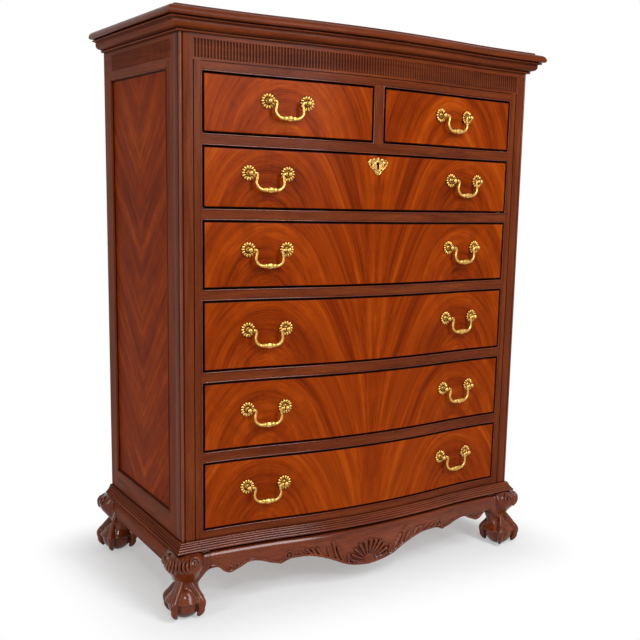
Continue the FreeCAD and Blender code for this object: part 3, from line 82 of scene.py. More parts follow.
def bow(x):
    """Y of the bowed front at x, and its outward normal in plan."""
    x = np.asarray(x, float)
    side = np.sign(x)
    a = np.abs(x)
    swell = FRONT - BOW + BOW_RADIUS - np.sqrt(np.maximum(BOW_RADIUS ** 2 - a ** 2, 0))
    rest = np.minimum(BOW_HALF - a, BOW_HALF)
    hollow = FRONT - BOW_RADIUS + np.sqrt(np.maximum(BOW_RADIUS ** 2 - rest ** 2, 0))
    y = np.where(a < BOW_HALF / 2, swell, np.where(a < BOW_HALF, hollow, FRONT))
    lean = np.where(a < BOW_HALF / 2, a, np.where(a < BOW_HALF, rest, 0)) / BOW_RADIUS
    return y, side * lean, -np.sqrt(1 - lean ** 2)


# ---- mesh building
class Solid:
    """Closed shells gathered in millimetres before they become one mesh."""

    def __init__(self):
        self.points = np.zeros((0, 3))
        self.faces = []
        self.slots = []

    def add(self, points, faces):
        """Points and faces of one shell."""
        base = len(self.points)
        self.points = np.concatenate([self.points, np.asarray(points, float).reshape(-1, 3)])
        self.faces += [[i + base for i in face] for face in faces]
        self.slots += [0] * len(faces)
        return self

    def loft(self, rings, closed=False):
        """Tube through rings of equal length, capped unless it closes on itself."""
        rings = np.asarray(rings, float)
        rows, cols = rings.shape[:2]
        faces = quads(rows, cols, wrap_rows=closed, wrap_cols=True)
        if not closed:
            faces.append(list(range(cols)))
            faces.append([(rows - 1) * cols + i for i in range(cols)])
        return self.add(rings, faces)


def eased_rectangle(x0, x1, y0, y1, ease):
    """Corners of a rectangle, each cut off by ease."""
    if not ease:
        return [(x0, y0), (x1, y0), (x1, y1), (x0, y1)]
    return [(x0 + ease, y0), (x1 - ease, y0), (x1, y0 + ease), (x1, y1 - ease),
            (x1 - ease, y1), (x0 + ease, y1), (x0, y1 - ease), (x0, y0 + ease)]


def quads(rows, cols, wrap_rows=False, wrap_cols=False):
    """Faces of a grid of points."""
    faces = []
    for r in range(rows if wrap_rows else rows - 1):
        below, above = r * cols, (r + 1) % rows * cols
        for c in range(cols if wrap_cols else cols - 1):
            n = (c + 1) % cols
            faces.append([below + c, below + n, above + n, above + c])
    return faces


def rim_of(rows, cols):
    """Outer places (row, column) of a grid, once round it."""
    return ([(0, c) for c in range(cols)] + [(r, cols - 1) for r in range(1, rows)]
            + [(rows - 1, c) for c in range(cols - 2, -1, -1)]
            + [(r, 0) for r in range(rows - 2, 0, -1)])


def rimmed(grid, rings):
    """Points and faces of a grid with walls back from its rim, and the last ring's numbers."""
    rows, cols = grid.shape[:2]
    rim = [r * cols + c for r, c in rim_of(rows, cols)]
    count = len(rim)
    loops = [rim]
    loops += [[rows * cols + k * count + i for i in range(count)] for k in range(len(rings))]
    faces = quads(rows, cols)
    for near, far in zip(loops, loops[1:]):
        for i in range(count):
            j = (i + 1) % count
            faces.append([near[i], near[j], far[j], far[i]])
    points = [grid.reshape(-1, 3)] + [np.asarray(ring, float) for ring in rings]
    return np.concatenate(points), faces, loops[-1]


def in_scene(name, data):
    """Object of some data, linked to the scene."""
    obj = bpy.data.objects.new(name, data)
    bpy.context.scene.collection.objects.link(obj)
    return obj


def mesh_object(name, solid, materials=(), scale=MM):
    """Object of a solid in the scene, with its normals set outwards."""
    mesh = bpy.data.meshes.new(name)
    mesh.from_pydata((solid.points * scale).tolist(), [], solid.faces)
    mesh.polygons.foreach_set("material_index", solid.slots)
    for material in materials:
        mesh.materials.append(material)
    tidy = bmesh.new()
    tidy.from_mesh(mesh)
    bmesh.ops.recalc_face_normals(tidy, faces=tidy.faces)
    tidy.to_mesh(mesh)
    tidy.free()
    return in_scene(name, mesh)


def read_vectors(items, key):
    """Three numbers of each of a mesh's items."""
    values = np.zeros(len(items) * 3, np.float32)
    items.foreach_get(key, values)
    return values.reshape(-1, 3).astype(float)


def after_modifiers(obj):
    """Points, normals, faces and material numbers that an object's modifiers give."""
    depsgraph = bpy.context.evaluated_depsgraph_get()
    result = bpy.data.meshes.new_from_object(obj.evaluated_get(depsgraph))
    points = read_vectors(result.vertices, "co")
    normals = read_vectors(result.vertex_normals, "vector")
    faces = [list(p.vertices) for p in result.polygons]
    slots = [p.material_index for p in result.polygons]
    bpy.data.objects.remove(obj)
    bpy.data.meshes.remove(result)
    return points, normals, faces, slots


def cut_out(solid, bit, materials, bit_slot=0):
    """What is left of a solid after a bit has gone through it."""
    bit.slots = [bit_slot] * len(bit.faces)
    blank, cutter = [mesh_object("blank", shape, materials, 1) for shape in (solid, bit)]
    hole = blank.modifiers.new("hole", "BOOLEAN")
    hole.object = cutter
    hole.operation = "DIFFERENCE"
    hole.solver = "EXACT"
    points, _, faces, slots = after_modifiers(blank)
    bpy.data.objects.remove(cutter)
    left = Solid().add(points, faces)
    left.slots = slots
    return left


def piece(name, solid, materials, node, sharp=32, body="case", figure=None):
    """Mesh object in a node's place, riding on a body; figure gives its veneer coordinates."""
    obj = mesh_object(name, solid, materials)
    mesh = obj.data
    mesh.polygons.foreach_set("use_smooth", [True] * len(mesh.polygons))
    mesh.set_sharp_from_angle(angle=math.radians(sharp))
    mesh.update()
    if figure:
        values = figure(read_vectors(mesh.vertices, "co") / MM)
        made = mesh.attributes.new("figure", "FLOAT_VECTOR", "POINT")
        made.data.foreach_set("vector", (values * MM).astype(np.float32).ravel())
    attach(obj, body)
    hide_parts(node)


# ---- curves, profiles and mouldings
def dome(distance, half):
    """Height of a half round of unit rise, by the distance from its middle."""
    return np.sqrt(np.maximum(1 - (distance / half) ** 2, 0))


def worn(distance, reach):
    """Share by which an edge is worn back, by the distance from it."""
    return np.sqrt(np.maximum(1 - distance / reach, 0))


def soft_step(share):
    """Share from 0 to 1 with eased ends."""
    return share * share * (3 - 2 * share)


def circle(count):
    """Cosines and sines of even steps round a full turn."""
    angles = np.linspace(0, 2 * math.pi, count, endpoint=False)
    return np.cos(angles), np.sin(angles)


def smooth_path(knots, count):
    """Evenly parametrised Catmull-Rom curve through rows of numbers."""
    knots = np.asarray(knots, float)
    padded = np.vstack([2 * knots[0] - knots[1], knots, 2 * knots[-1] - knots[-2]])
    rows = []
    for t in np.linspace(0, len(knots) - 1, count):
        i = min(int(t), len(knots) - 2)
        s = t - i
        p0, p1, p2, p3 = padded[i:i + 4]
        rows.append(0.5 * (2 * p1 + (p2 - p0) * s + (2 * p0 - 5 * p1 + 4 * p2 - p3) * s ** 2
                           + (3 * p1 - p0 - 3 * p2 + p3) * s ** 3))
    return np.array(rows)


def headings(way):
    """Unit steps along a path in its first two numbers."""
    ahead = np.gradient(way[:, :2], axis=0)
    return ahead / np.maximum(np.linalg.norm(ahead, axis=1), 1e-9)[:, None]


def lookup(knots, values):
    """Smooth curve through knots (a, b), read at values of a."""
    dense = smooth_path(knots, 40 * len(knots))
    order = np.argsort(dense[:, 0])
    return np.interp(values, dense[order, 0], dense[order, 1])
def arc(centre, radius, start, end, count=8):
    """Points of an arc, angles in degrees."""
    angles = np.radians(np.linspace(start, end, count))
    return [(centre[0] + radius * math.cos(a), centre[1] + radius * math.sin(a)) for a in angles]


def bulge(start, end, rise, count=7):
    """Points of an arc between two points that rises by rise to the left of the way."""
    (x0, y0), (x1, y1) = start, end
    t = np.linspace(0, 1, count)
    length = math.hypot(x1 - x0, y1 - y0)
    lift = 4 * rise * t * (1 - t) / length
    return [(x0 + (x1 - x0) * s - (y1 - y0) * h, y0 + (y1 - y0) * s + (x1 - x0) * h)
            for s, h in zip(t, lift)]


STEP = 9


def front_stations(x0, x1):
    """Places along the bowed front with their outward normals."""
    count = max(2, int(abs(x1 - x0) / STEP))
    marks = [m for m in (-BOW_HALF, -BOW_HALF / 2, BOW_HALF / 2, BOW_HALF)
             if min(x0, x1) < m < max(x0, x1)]
    xs = np.array(sorted(set(np.linspace(x0, x1, count + 1)) | set(marks)))
    y, nx, ny = bow(xs)
    return np.stack([xs, y, nx, ny], 1)


def round_the_front():
    """Stations of a moulding's front length, mitred at both corners."""
    inner = front_stations(-BOW_HALF, BOW_HALF)
    return np.concatenate([[(-HALF, FRONT, -1, -1)], inner, [(HALF, FRONT, 1, -1)]])


def along_side(side):
    """Stations of a moulding's side length, mitred at the front corner."""
    return np.array([(side * HALF, FRONT, side, -1), (side * HALF, BACK, side, 0)], float)


def three_lengths(name, node, profile, base, materials):
    """Front, left and right lengths of one moulding, its profile (out, up) run along each."""
    along_x, along_y = materials
    lengths = (("front", round_the_front(), along_x), ("left", along_side(-1), along_y),
               ("right", along_side(1), along_y))
    for place, stations, material in lengths:
        rings = [[(x + out * nx, y + out * ny, base + up) for out, up in profile]
                 for x, y, nx, ny in stations]
        piece(f"{name}_{place}", Solid().loft(rings), [material], node)


# ---- materials
def feed(tree, node, inputs):
    """Link or set inputs of a node."""
    for key, value in inputs.items():
        if isinstance(value, bpy.types.NodeSocket):
            tree.links.new(value, node.inputs[key])
        else:
            node.inputs[key].default_value = value


def add_node(tree, kind, inputs=None, **settings):
    """Node with its settings, and its inputs linked or set."""
    made = tree.nodes.new(kind)
    for name, value in settings.items():
        setattr(made, name, value)
    feed(tree, made, inputs or {})
    return made


def output(tree, kind, inputs=None, key=0, **settings):
    """One output of a new node."""
    return add_node(tree, kind, inputs, **settings).outputs[key]


def empty_tree(owner):
    """Cleared node tree of a material or a world."""
    owner.use_nodes = True
    owner.node_tree.nodes.clear()
    return owner.node_tree


def new_material(name):
    """Material, its tree and its principled shader."""
    material = bpy.data.materials.new(name)
    tree = empty_tree(material)
    shader = add_node(tree, "ShaderNodeBsdfPrincipled")
    add_node(tree, "ShaderNodeOutputMaterial", {"Surface": shader.outputs[0]})
    return material, tree, shader


def object_place(tree):
    """Coordinates in the frame that all pieces share."""
    return output(tree, "ShaderNodeTexCoord", key="Object")


def ramp(tree, value, stops):
    """Colour that a value picks from stops (position, colour)."""
    made = add_node(tree, "ShaderNodeValToRGB", {"Fac": value})
    elements = made.color_ramp.elements
    while len(elements) < len(stops):
        elements.new(0.5)
    for element, (position, colour) in zip(elements, stops):
        element.position = position
        element.color = (*colour, 1)
    return made.outputs[0]


def noise(tree, vector, scale, detail=3.0, rough=0.55, distort=0.0):
    """Noise value over coordinates scaled per axis."""
    spread = vector_math(tree, "MULTIPLY", vector, scale)
    return output(tree, "ShaderNodeTexNoise", {
        "Vector": spread, "Scale": 1.0, "Detail": detail, "Roughness": rough,
        "Distortion": distort}, "Fac")


def vector_math(tree, operation, *inputs):
    """Vector that a vector math node gives."""
    return output(tree, "ShaderNodeVectorMath", dict(enumerate(inputs)), operation=operation)


def scalar(tree, operation, a, b=0.5, c=0.0):
    """Math node over values or sockets."""
    return output(tree, "ShaderNodeMath", {0: a, 1: b, 2: c}, operation=operation)


def ranged(tree, value, low, high, at_low, at_high, **settings):
    """Value carried over from the range low to high."""
    return output(tree, "ShaderNodeMapRange", {
        "Value": value, "From Min": low, "From Max": high, "To Min": at_low,
        "To Max": at_high}, **settings)


def weighed(tree, first, *others):
    """Sum of values, each (value, weight)."""
    total = scalar(tree, "MULTIPLY", *first)
    for value, weight in others:
        total = scalar(tree, "MULTIPLY_ADD", value, weight, total)
    return total


def toned(tree, colour, tone):
    """Colour darkened or lightened by a tone."""
    grey = output(tree, "ShaderNodeCombineColor", {i: tone for i in range(3)})
    return output(tree, "ShaderNodeMix", {0: 1.0, 6: colour, 7: grey}, 2, data_type="RGBA",
                  blend_type="MULTIPLY")


def painted_hollow_shade(tree, colour, reach, dark):
    """Colour darkened by ambient occlusion in narrow hollows: painted shade."""
    clear = output(tree, "ShaderNodeAmbientOcclusion", {"Distance": reach}, "AO", samples=6)
    return toned(tree, colour, ranged(tree, clear, 0.3, 0.92, dark, 1.0))


def relief_normal(tree, height, strength, depth):
    """Normal of a fine relief."""
    return output(tree, "ShaderNodeBump", {
        "Strength": strength, "Distance": depth, "Height": height})


AXES = {"x": 0, "y": 1, "z": 2}


def grain_scale(axis, across, along):
    """Frequencies per metre, low along the grain."""
    return tuple(along if i == AXES[axis] else across for i in range(3))


def plain_wood(name, axis, stops, rough, gloss, pore=0.35, hollow=0.0, bump=0.05):
    """Straight-grained wood with its grain along an axis, under a clear finish."""
    material, tree, shader = new_material(name)
    at = object_place(tree)
    band = noise(tree, at, grain_scale(axis, 42, 3.2), 4.0, 0.6, 0.4)
    streak = noise(tree, at, grain_scale(axis, 340, 9), 3.0, 0.6)
    pores = noise(tree, at, grain_scale(axis, 1500, 60), 1.0)
    colour = ramp(tree, weighed(tree, (band, 0.62), (streak, 0.38)), stops)
    colour = toned(tree, colour, ranged(tree, pores, 0.56, 0.68, 1.0, 1 - pore))
    # Painted shade: the colour darkens in hollows within the reach hollow.
    if hollow:
        colour = painted_hollow_shade(tree, colour, hollow, 0.04)
    feed(tree, shader, {
        "Base Color": colour, "Roughness": rough, "Specular IOR Level": gloss,
        "Normal": relief_normal(tree, streak, bump, 0.0004)})
    return material


def figured_veneer(name, stops, rough, gloss):
    """Flame veneer that follows the figure coordinates stored on the mesh."""
    material, tree, shader = new_material(name)
    at = output(tree, "ShaderNodeAttribute", key="Vector", attribute_name="figure",
                attribute_type="GEOMETRY")
    broad = noise(tree, at, (26, 2.4, 60), 2.0, 0.5, 0.5)
    middle = noise(tree, at, (95, 5.0, 60), 3.0, 0.6, 0.3)
    fine = noise(tree, at, (520, 18, 60), 2.0, 0.6)
    cross = noise(tree, at, (14, 34, 60), 2.0)
    pores = noise(tree, at, (1300, 70, 60), 1.0)
    colour = ramp(tree, weighed(tree, (middle, 0.32), (broad, 0.42), (fine, 0.26)), stops)
    tone = scalar(tree, "MULTIPLY", ranged(tree, cross, 0.3, 0.7, 0.9, 1.08),
                  ranged(tree, pores, 0.58, 0.7, 1.0, 0.7))
    feed(tree, shader, {
        "Base Color": toned(tree, colour, tone), "Roughness": rough,
        "Specular IOR Level": gloss, "Normal": relief_normal(tree, middle, 0.05, 0.0003)})
    return material


def cast_brass():
    """Polished cast brass with painted shade in its hollows, its roughness varying in worn patches."""
    material, tree, shader = new_material("brass")
    at = object_place(tree)
    cloud = noise(tree, at, (160, 160, 160), 3.0)
    wear = noise(tree, at, (420, 420, 420), 2.0)
    # The base colour carries painted shade in the hollows.
    feed(tree, shader, {
        "Base Color": painted_hollow_shade(tree, ramp(tree, cloud, BRASS_TONES), 0.005, 0.12),
        "Roughness": ranged(tree, wear, 0.3, 0.7, 0.2, 0.36), "Metallic": 1.0,
        "Normal": relief_normal(tree, wear, 0.06, 0.0003)})
    return material


def satin_steel():
    """Filed steel of the lock."""
    material, tree, shader = new_material("lock_steel")
    scratches = noise(tree, object_place(tree), (40, 900, 900), 2.0)
    feed(tree, shader, {
        "Base Color": ramp(tree, scratches, STEEL_TONES), "Metallic": 1.0, "Roughness": 0.38})
    return material


MAHOGANY = [(0.30, (0.060, 0.0105, 0.0030)), (0.48, (0.112, 0.0205, 0.0050)),
            (0.66, (0.170, 0.0350, 0.0085))]
# Lighter copy of MAHOGANY for the side pieces: painted light that brightens the sides beyond what the
# lamps give.
SIDE_LIGHTENED_MAHOGANY = [(0.30, (0.075, 0.0150, 0.0050)), (0.48, (0.145, 0.0290, 0.0090)),
                 (0.66, (0.220, 0.0480, 0.0150))]
CARVED_MAHOGANY = [(0.30, (0.065, 0.0090, 0.0014)), (0.48, (0.135, 0.0215, 0.0032)),
                   (0.66, (0.215, 0.0390, 0.0060))]
FLAME = [(0.36, (0.105, 0.0105, 0.0006)), (0.46, (0.180, 0.0210, 0.0009)),
         (0.55, (0.250, 0.0330, 0.0013)), (0.66, (0.350, 0.0600, 0.0030))]
POPLAR = [(0.30, (0.30, 0.185, 0.090)), (0.50, (0.41, 0.265, 0.140)), (0.70, (0.50, 0.335, 0.185))]
# Near-black tones that stand in for the shade in drawer rebates, the keyhole and the gaps round the
# side panels.
SHADE_PAINT_TONES = [(0.30, (0.003, 0.0014, 0.0010)), (0.70, (0.007, 0.0030, 0.0020))]
BRASS_TONES = [(0.3, (0.44, 0.225, 0.045)), (0.52, (0.62, 0.355, 0.090)), (0.72, (0.72, 0.450, 0.140))]
STEEL_TONES = [(0.3, (0.34, 0.33, 0.31)), (0.7, (0.52, 0.51, 0.48))]

# hollow is the reach of the shade painted into the hollows of each wood.
WOOD = {axis: plain_wood(f"mahogany_{axis}", axis, MAHOGANY, 0.3, 0.05, hollow=0.006)
        for axis in "xz"}
# SIDE is the same mahogany with painted light, used on the sides, their mouldings and aprons.
SIDE = {axis: plain_wood(f"side_lightened_mahogany_{axis}", axis, SIDE_LIGHTENED_MAHOGANY, 0.34, 0.01, hollow=0.006)
        for axis in "yz"}
CARVED = {axis: plain_wood(f"carved_mahogany_{axis}", axis, CARVED_MAHOGANY, 0.14, 0.26,
                           hollow=0.02 if axis == "z" else 0.012, bump=0.02)
          for axis in "xz"}
INSIDE = {axis: plain_wood(f"poplar_{axis}", axis, POPLAR, 0.62, 0.3, 0.2) for axis in AXES}
# Near-black wood painted where only shade darkens the rebates and gaps.
SHADE_PAINT = plain_wood("painted_shade", "x", SHADE_PAINT_TONES, 0.7, 0.05)
VENEER = figured_veneer("flame_veneer", FLAME, 0.3, 0.03)
SIDE_VENEER = figured_veneer("side_veneer", FLAME, 0.34, 0.006)
BRASS = cast_brass()
STEEL = satin_steel()


# ---- drawer openings
def opening(front):
    """Opening of a drawer front: left, right, bottom and top edge."""
    low, high = span(front)
    return low[0] - GAP, high[0] + GAP, low[2] - GAP, high[2] + GAP


OPENINGS = {name: opening(f"{name}_front") for name in TOP_DRAWERS + LONG_DRAWERS}
LEVELS = sorted({box[2:] for box in OPENINGS.values()})
RAIL_BACK = span("face_frame")[1][1]
FRONT_BACK = span("long_drawer_2_front")[1][1]
BED = 3.5
BEAD = 1.35
QUIRK = 0.8
EASE = 0.2
GROOVE = 2.0
GROOVE_DEEP = 2.5
STILE_DEEP = 24.0


def on_front(x, z, out=0.0):
    """Point on the bowed front, out in front of it."""
    y, nx, ny = bow(x)
    return float(x + out * nx), float(y + out * ny), float(z)


# ---- face frame
MORTISE_LOW, MORTISE_HIGH = [
    np.array(corner) / MM for row in RECORD["physics"]["openings"]
    if row["name"] == "bolt_mortise" for corner in row["box_m"]]


def mortise_bit():
    """Block that cuts the lock bolt's mortise, open at the foot of its rail."""
    y0, y1 = MORTISE_LOW[1], MORTISE_HIGH[1]
    z0, z1 = MORTISE_LOW[2] - 2, MORTISE_HIGH[2]
    return Solid().loft([[(x, y, z) for y, z in eased_rectangle(y0, y1, z0, z1, 0)]
                         for x in (MORTISE_LOW[0], MORTISE_HIGH[0])])


def rail(name, low, high, bead_low, bead_high):
    """Rail across the front, with sunk beds for beads or a groove under the frieze."""
    section = [(0, low)]
    if bead_low:
        bed = low + BED
        section = [(-QUIRK, low), (-QUIRK, bed), (-0.15, bed), (0, bed + EASE)]
    if bead_high:
        bed = high - BED
        section += [(0, bed - EASE), (-0.15, bed), (-QUIRK, bed), (-QUIRK, high)]
    else:
        bed = high - 1.9
        section += [(0, bed - 0.3), (-EASE, bed), (-GROOVE_DEEP, bed), (-GROOVE_DEEP, high)]
    rings = []
    for x, y, nx, ny in front_stations(-OPEN - BED, OPEN + BED):
        ring = [(x + out * nx, y + out * ny, z) for out, z in section]
        rings.append(ring + [(x, RAIL_BACK, high), (x, RAIL_BACK, low)])
    solid = Solid().loft(rings)
    if low < MORTISE_LOW[2] < high:
        solid = cut_out(solid, mortise_bit(), [WOOD["x"]])
    piece(name, solid, [WOOD["x"]], "face_frame")


def upright(name, plan, low, high, node, polished=(), sharp=32):
    """Vertical member with the same plan over its whole height."""
    solid = Solid().loft([[(x, y, z) for x, y in plan] for z in (low, high)])
    for index in polished:
        solid.slots[index] = 1
    piece(name, solid, [WOOD["z"], CARVED["z"]], node, sharp)


def face_frame():
    """Rails, stiles and the divider between the top drawers."""
    edges = [CASE] + [z for level in LEVELS for z in level] + [FRIEZE]
    last = len(edges) - 2
    for i in range(0, len(edges), 2):
        rail(f"rail_{i // 2 + 1}", edges[i], edges[i + 1], i > 0, i < last)
    for side in (-1, 1):
        bed = [(side * x, float(bow(x)[0]) + QUIRK + 0.1) for x in (OPEN, OPEN + BED)]
        face = [(side * x, float(bow(x)[0])) for x in np.linspace(OPEN + BED, BOW_HALF - GROOVE, 4)]
        plan = bed + face + [(side * x, FRONT + y) for x, y in (
            (BOW_HALF - GROOVE, GROOVE_DEEP), (BOW_HALF, GROOVE_DEEP), (BOW_HALF, STILE_DEEP),
            (OPEN, STILE_DEEP))]
        upright(f"stile_{'left' if side < 0 else 'right'}", plan, CASE, FRIEZE, "face_frame")
    low, high = LEVELS[-1]
    face = float(bow(0)[0]) + 0.05
    bed = float(bow(0)[0]) + QUIRK + 0.1
    plan = [(-DIVIDER, bed), (BED - DIVIDER, bed), (BED - DIVIDER, face), (DIVIDER - BED, face),
            (DIVIDER - BED, bed), (DIVIDER, bed), (DIVIDER, RAIL_BACK), (-DIVIDER, RAIL_BACK)]
    upright("divider", plan, low - BED, high + BED, "centre_divider")


def bead_ring(name, box):
    """Half-round bead round one drawer opening, mitred at its corners."""
    x0, x1, z0, z1 = box
    section = [(BEAD - BEAD * math.cos(a), -BEAD + BEAD * math.sin(a))
               for a in np.linspace(0, math.pi, 8)]
    inner = list(front_stations(x0, x1)[1:-1, 0])
    way = [(x0, z0, -1, -1)] + [(x, z0, 0, -1) for x in inner] + [(x1, z0, 1, -1)]
    way += [(x1, z1, 1, 1)] + [(x, z1, 0, 1) for x in inner[::-1]] + [(x0, z1, -1, 1)]
    rings = []
    for x, z, dx, dz in way:
        y, nx, ny = bow(x)
        rings.append([(x - dx * a * ny + out * nx, y + dx * a * nx + out * ny, z + dz * a)
                      for a, out in section])
    piece(name, Solid().loft(rings, closed=True), [CARVED["x"]], "face_frame", 50)


# ---- corner posts and sides
SIDES = ((-1, "left"), (1, "right"))


def corner_posts():
    """Posts with a bead on the corner between two quirks."""
    radius = 3.4
    quirk = 1.7
    edge = 2 * radius + quirk
    width = HALF - BOW_HALF
    front = [(width, 0), (edge + 0.5, 0), (edge + 0.15, 0.15), (edge, 0.5), (edge - 0.1, 2.1),
             (2 * radius, 2.3)]
    turn = [(radius + radius * math.cos(a), radius - radius * math.sin(a))
            for a in np.radians(np.linspace(-8, 278, 22)) if 0 < math.degrees(a) < 270]
    side = [(y, x) for x, y in reversed(front)]
    side[-1] = (0, width)
    plan = front + turn + side + [(width, width)]
    bead_faces = range(len(front), len(front) + len(turn) - 1)
    for s, name in SIDES:
        upright(f"{name}_post", [(s * (HALF - x), FRONT + y) for x, y in plan], CASE, TOP,
                f"{name}_corner_post", bead_faces, 40)


SIDE_PANEL_LOW, SIDE_PANEL_HIGH = span("left_side_panel")
FLUTE_LOW = 4.6
FLUTE_HIGH = 43.0
FLUTE_PITCH = 7.15
FLUTE_HALF = 2.3


def flute_field(start, end, deepest):
    """Positions along a fluted board, levels over its foot, and how deep each point is sunk."""
    count = round((end - start) / FLUTE_PITCH)
    pitch = (end - start) / count
    marks = np.array([-2.5, -2.3, -2.1, -1.6, -0.8, 0, 0.8, 1.6, 2.1, 2.3, 2.5])
    along = []
    for i in range(count):
        along += list(start + (i + 0.5) * pitch + marks)
    ends = np.array([-0.25, 0, 0.25, 0.7, 1.45, 2.3])
    levels = list(FLUTE_LOW + ends) + list(FLUTE_HIGH - ends[::-1])
    u = np.array(along)
    z = np.array(levels)
    across = (u - start) % pitch - pitch / 2
    nearest = np.clip(z, FLUTE_LOW + FLUTE_HALF, FLUTE_HIGH - FLUTE_HALF)
    distance = np.hypot(across[None, :], (z - nearest)[:, None])
    return u, z, deepest * dome(distance, FLUTE_HALF)


BOARD = 16.0
FRONT_FLUTES = 438.8
SIDE_FLUTES = (50, 432)


def fluted_board(name, place, flutes, ends, node, material, deepest):
    """Board with a fluted face; place(along, level, sink) gives a point."""
    u, z, depth = flute_field(*flutes, deepest)
    u = np.concatenate([[ends[0]], u, [ends[1]]])
    z = np.concatenate([[0.0], z, [CORNICE - FRIEZE + 4]])
    rows, cols = len(z), len(u)
    sink = np.pad(depth, 1)
    grid = np.array([[place(u[c], z[r], sink[r, c]) for c in range(cols)] for r in range(rows)])
    back = [place(u[c], z[r], BOARD) for r, c in rim_of(rows, cols)]
    points, faces, last = rimmed(grid, [back])
    corner = 2 * (cols - 1) + rows - 1
    for c in range(cols - 1):
        faces.append([last[c], last[c + 1], last[corner - c - 1], last[corner - c]])
    faces += [last[corner:] + last[:1], last[cols - 1:cols + rows - 1]]
    piece(name, Solid().add(points, faces), [material], node, 28)


def frieze():
    """Fluted board across the front."""
    fluted_board("frieze", lambda a, b, sink: on_front(a, FRIEZE + b, -sink),
                 (-FRONT_FLUTES, FRONT_FLUTES), (-BOW_HALF, BOW_HALF), "fluted_frieze",
                 WOOD["x"], 2.6)


SIDE_THICK = 20.0
SIDE_EASE = 0.25
PANEL_BEAD = ([(0.4, -0.4)] + arc((-0.6, 0.1), 1.5, 20, 160, 7)
              + [(-2.6, -0.4), (-2.6, -5.6), (0.4, -5.6)])
# Sunk near-black strip round the panel: painted shadow in the gap between bead and panel.
PANEL_SHADE_LINE = [(-2.4, -3.2), (-5.0, -4.6), (-5.0, -5.8), (-2.4, -5.8)]
PANEL_LAP, PANEL_SINK, PANEL_BACK = 6, 5, 12


def side_member(name, s, node, y0, y1, z0, z1, axis):
    """Member of a side frame, its outer edges eased."""
    rings = [[(s * (HALF - back), y, z) for y, z in eased_rectangle(y0, y1, z0, z1, ease)]
             for back, ease in ((SIDE_THICK, 0.01), (SIDE_EASE, 0.01), (0, SIDE_EASE))]
    piece(name, Solid().loft(rings), [SIDE[axis]], node)


def sides():
    """Frame of four members, fluted board, bead, painted shadow line and veneered panel on each side.
    """
    (_, front, low), (_, back, high) = SIDE_PANEL_LOW, SIDE_PANEL_HIGH
    members = (("front_stile", POST_HIGH[1], front, CASE, FRIEZE, "z"),
               ("back_stile", back, BACK, CASE, FRIEZE, "z"),
               ("low_rail", front, back, CASE, low, "y"),
               ("high_rail", front, back, high, FRIEZE, "y"))
    corners = ((front, low, -1, -1), (back, low, 1, -1), (back, high, 1, 1), (front, high, -1, 1))
    for s, name in SIDES:
        node = f"{name}_side_frame"
        for part, *member in members:
            side_member(f"{name}_side_{part}", s, node, *member)
        fluted_board(f"{name}_side_frieze", lambda a, b, sink: (s * (HALF - sink), a, FRIEZE + b),
                     [FRONT + y for y in SIDE_FLUTES], (POST_HIGH[1], BACK), node, SIDE["y"], 1.6)
        # The line is a near-black strip of painted shadow beside the bead.
        for part, section, material in (("bead", PANEL_BEAD, SIDE["z"]), ("line", PANEL_SHADE_LINE, SHADE_PAINT)):
            rings = [[(s * (HALF + out), y + dy * a, z + dz * a) for a, out in section]
                     for y, z, dy, dz in corners]
            piece(f"{name}_panel_{part}", Solid().loft(rings, closed=True), [material], node, 50)
        grid = np.array([[(s * (HALF - PANEL_SINK), y, z)
                          for y in np.linspace(front - PANEL_LAP, back + PANEL_LAP, 49)]
                         for z in np.linspace(low - PANEL_LAP, high + PANEL_LAP, 125)])
        behind = [(s * (HALF - PANEL_BACK), *grid[place][1:]) for place in rim_of(*grid.shape[:2])]
        points, faces, last = rimmed(grid, [behind])
        piece(f"{name}_panel", Solid().add(points, faces + [last]), [SIDE_VENEER],
              f"{name}_side_panel", figure=side_figure)


CHEVRON_LEAN = math.radians(46)
CHEVRON_LEVEL = 700
CHEVRON_SQUEEZE = 0.9
SIDE_NOISE_PLACE = 400.0


def side_figure(points):
    """Chevrons that point down the middle of a side panel."""
    middle = (SIDE_PANEL_LOW[1] + SIDE_PANEL_HIGH[1]) / 2
    across = np.abs(points[:, 1] - middle)
    up = points[:, 2] - CHEVRON_LEVEL
    c, s = math.cos(CHEVRON_LEAN), math.sin(CHEVRON_LEAN)
    x = across * c - up * s * CHEVRON_SQUEEZE
    z = across * s + up * c
    return np.stack([x, z, np.full(len(x), SIDE_NOISE_PLACE)], 1)


# ---- cornice, top, base moulding
CORNICE_PROFILE = ([(-14, 0), (3.4, 0)] + arc((4.9, 2.4), 2.4, -75, 95, 8)
                   + [(4.9, 5.2), (8.3, 5.6), (8.5, 6.5)]
                   + bulge((8.5, 6.6), (19.6, 20.4), -4.6, 12)
                   + [(19.4, 21.4), (20.6, 22.4), (22.6, 22.6), (22.8, 23.2)]
                   + arc((25.6, 25.2), 2.1, -120, 110, 9)
                   + [(23.6, 27.4), (22.0, 27.8), (22.0, 29.0), (-14, 29.0)])
TOP_EDGE = (arc((31.5, 4.5), 4.5, -90, 0, 7) + arc((23.0, 4.5), 13.0, 0, 90, 11)[1:]
            + [(14.3, 17.5)] + arc((12.6, 21.6), 1.4, 0, 90, 5))


def base_profile():
    """Five reeds down the slope of the base moulding, and its frame behind."""
    slope = [(3.3, 0.0), (5.2, -3.8), (7.2, -8.2), (9.9, -12.6), (13.4, -16.8), (17.2, -21.0)]
    points = [(-24, 0), (2.6, 0)]
    for a, b in zip(slope, slope[1:]):
        points += bulge(a, b, 1.55, 7)[:-1]
    return points + [slope[-1], (16.6, -22.0), (-24, -22.0)]


def outline(out, back):
    """Outline of the case, grown by out at the front and the sides."""
    points = [(x + out * nx, y + out * ny) for x, y, nx, ny in round_the_front()]
    return [(-HALF - out, back)] + points + [(HALF + out, back)]


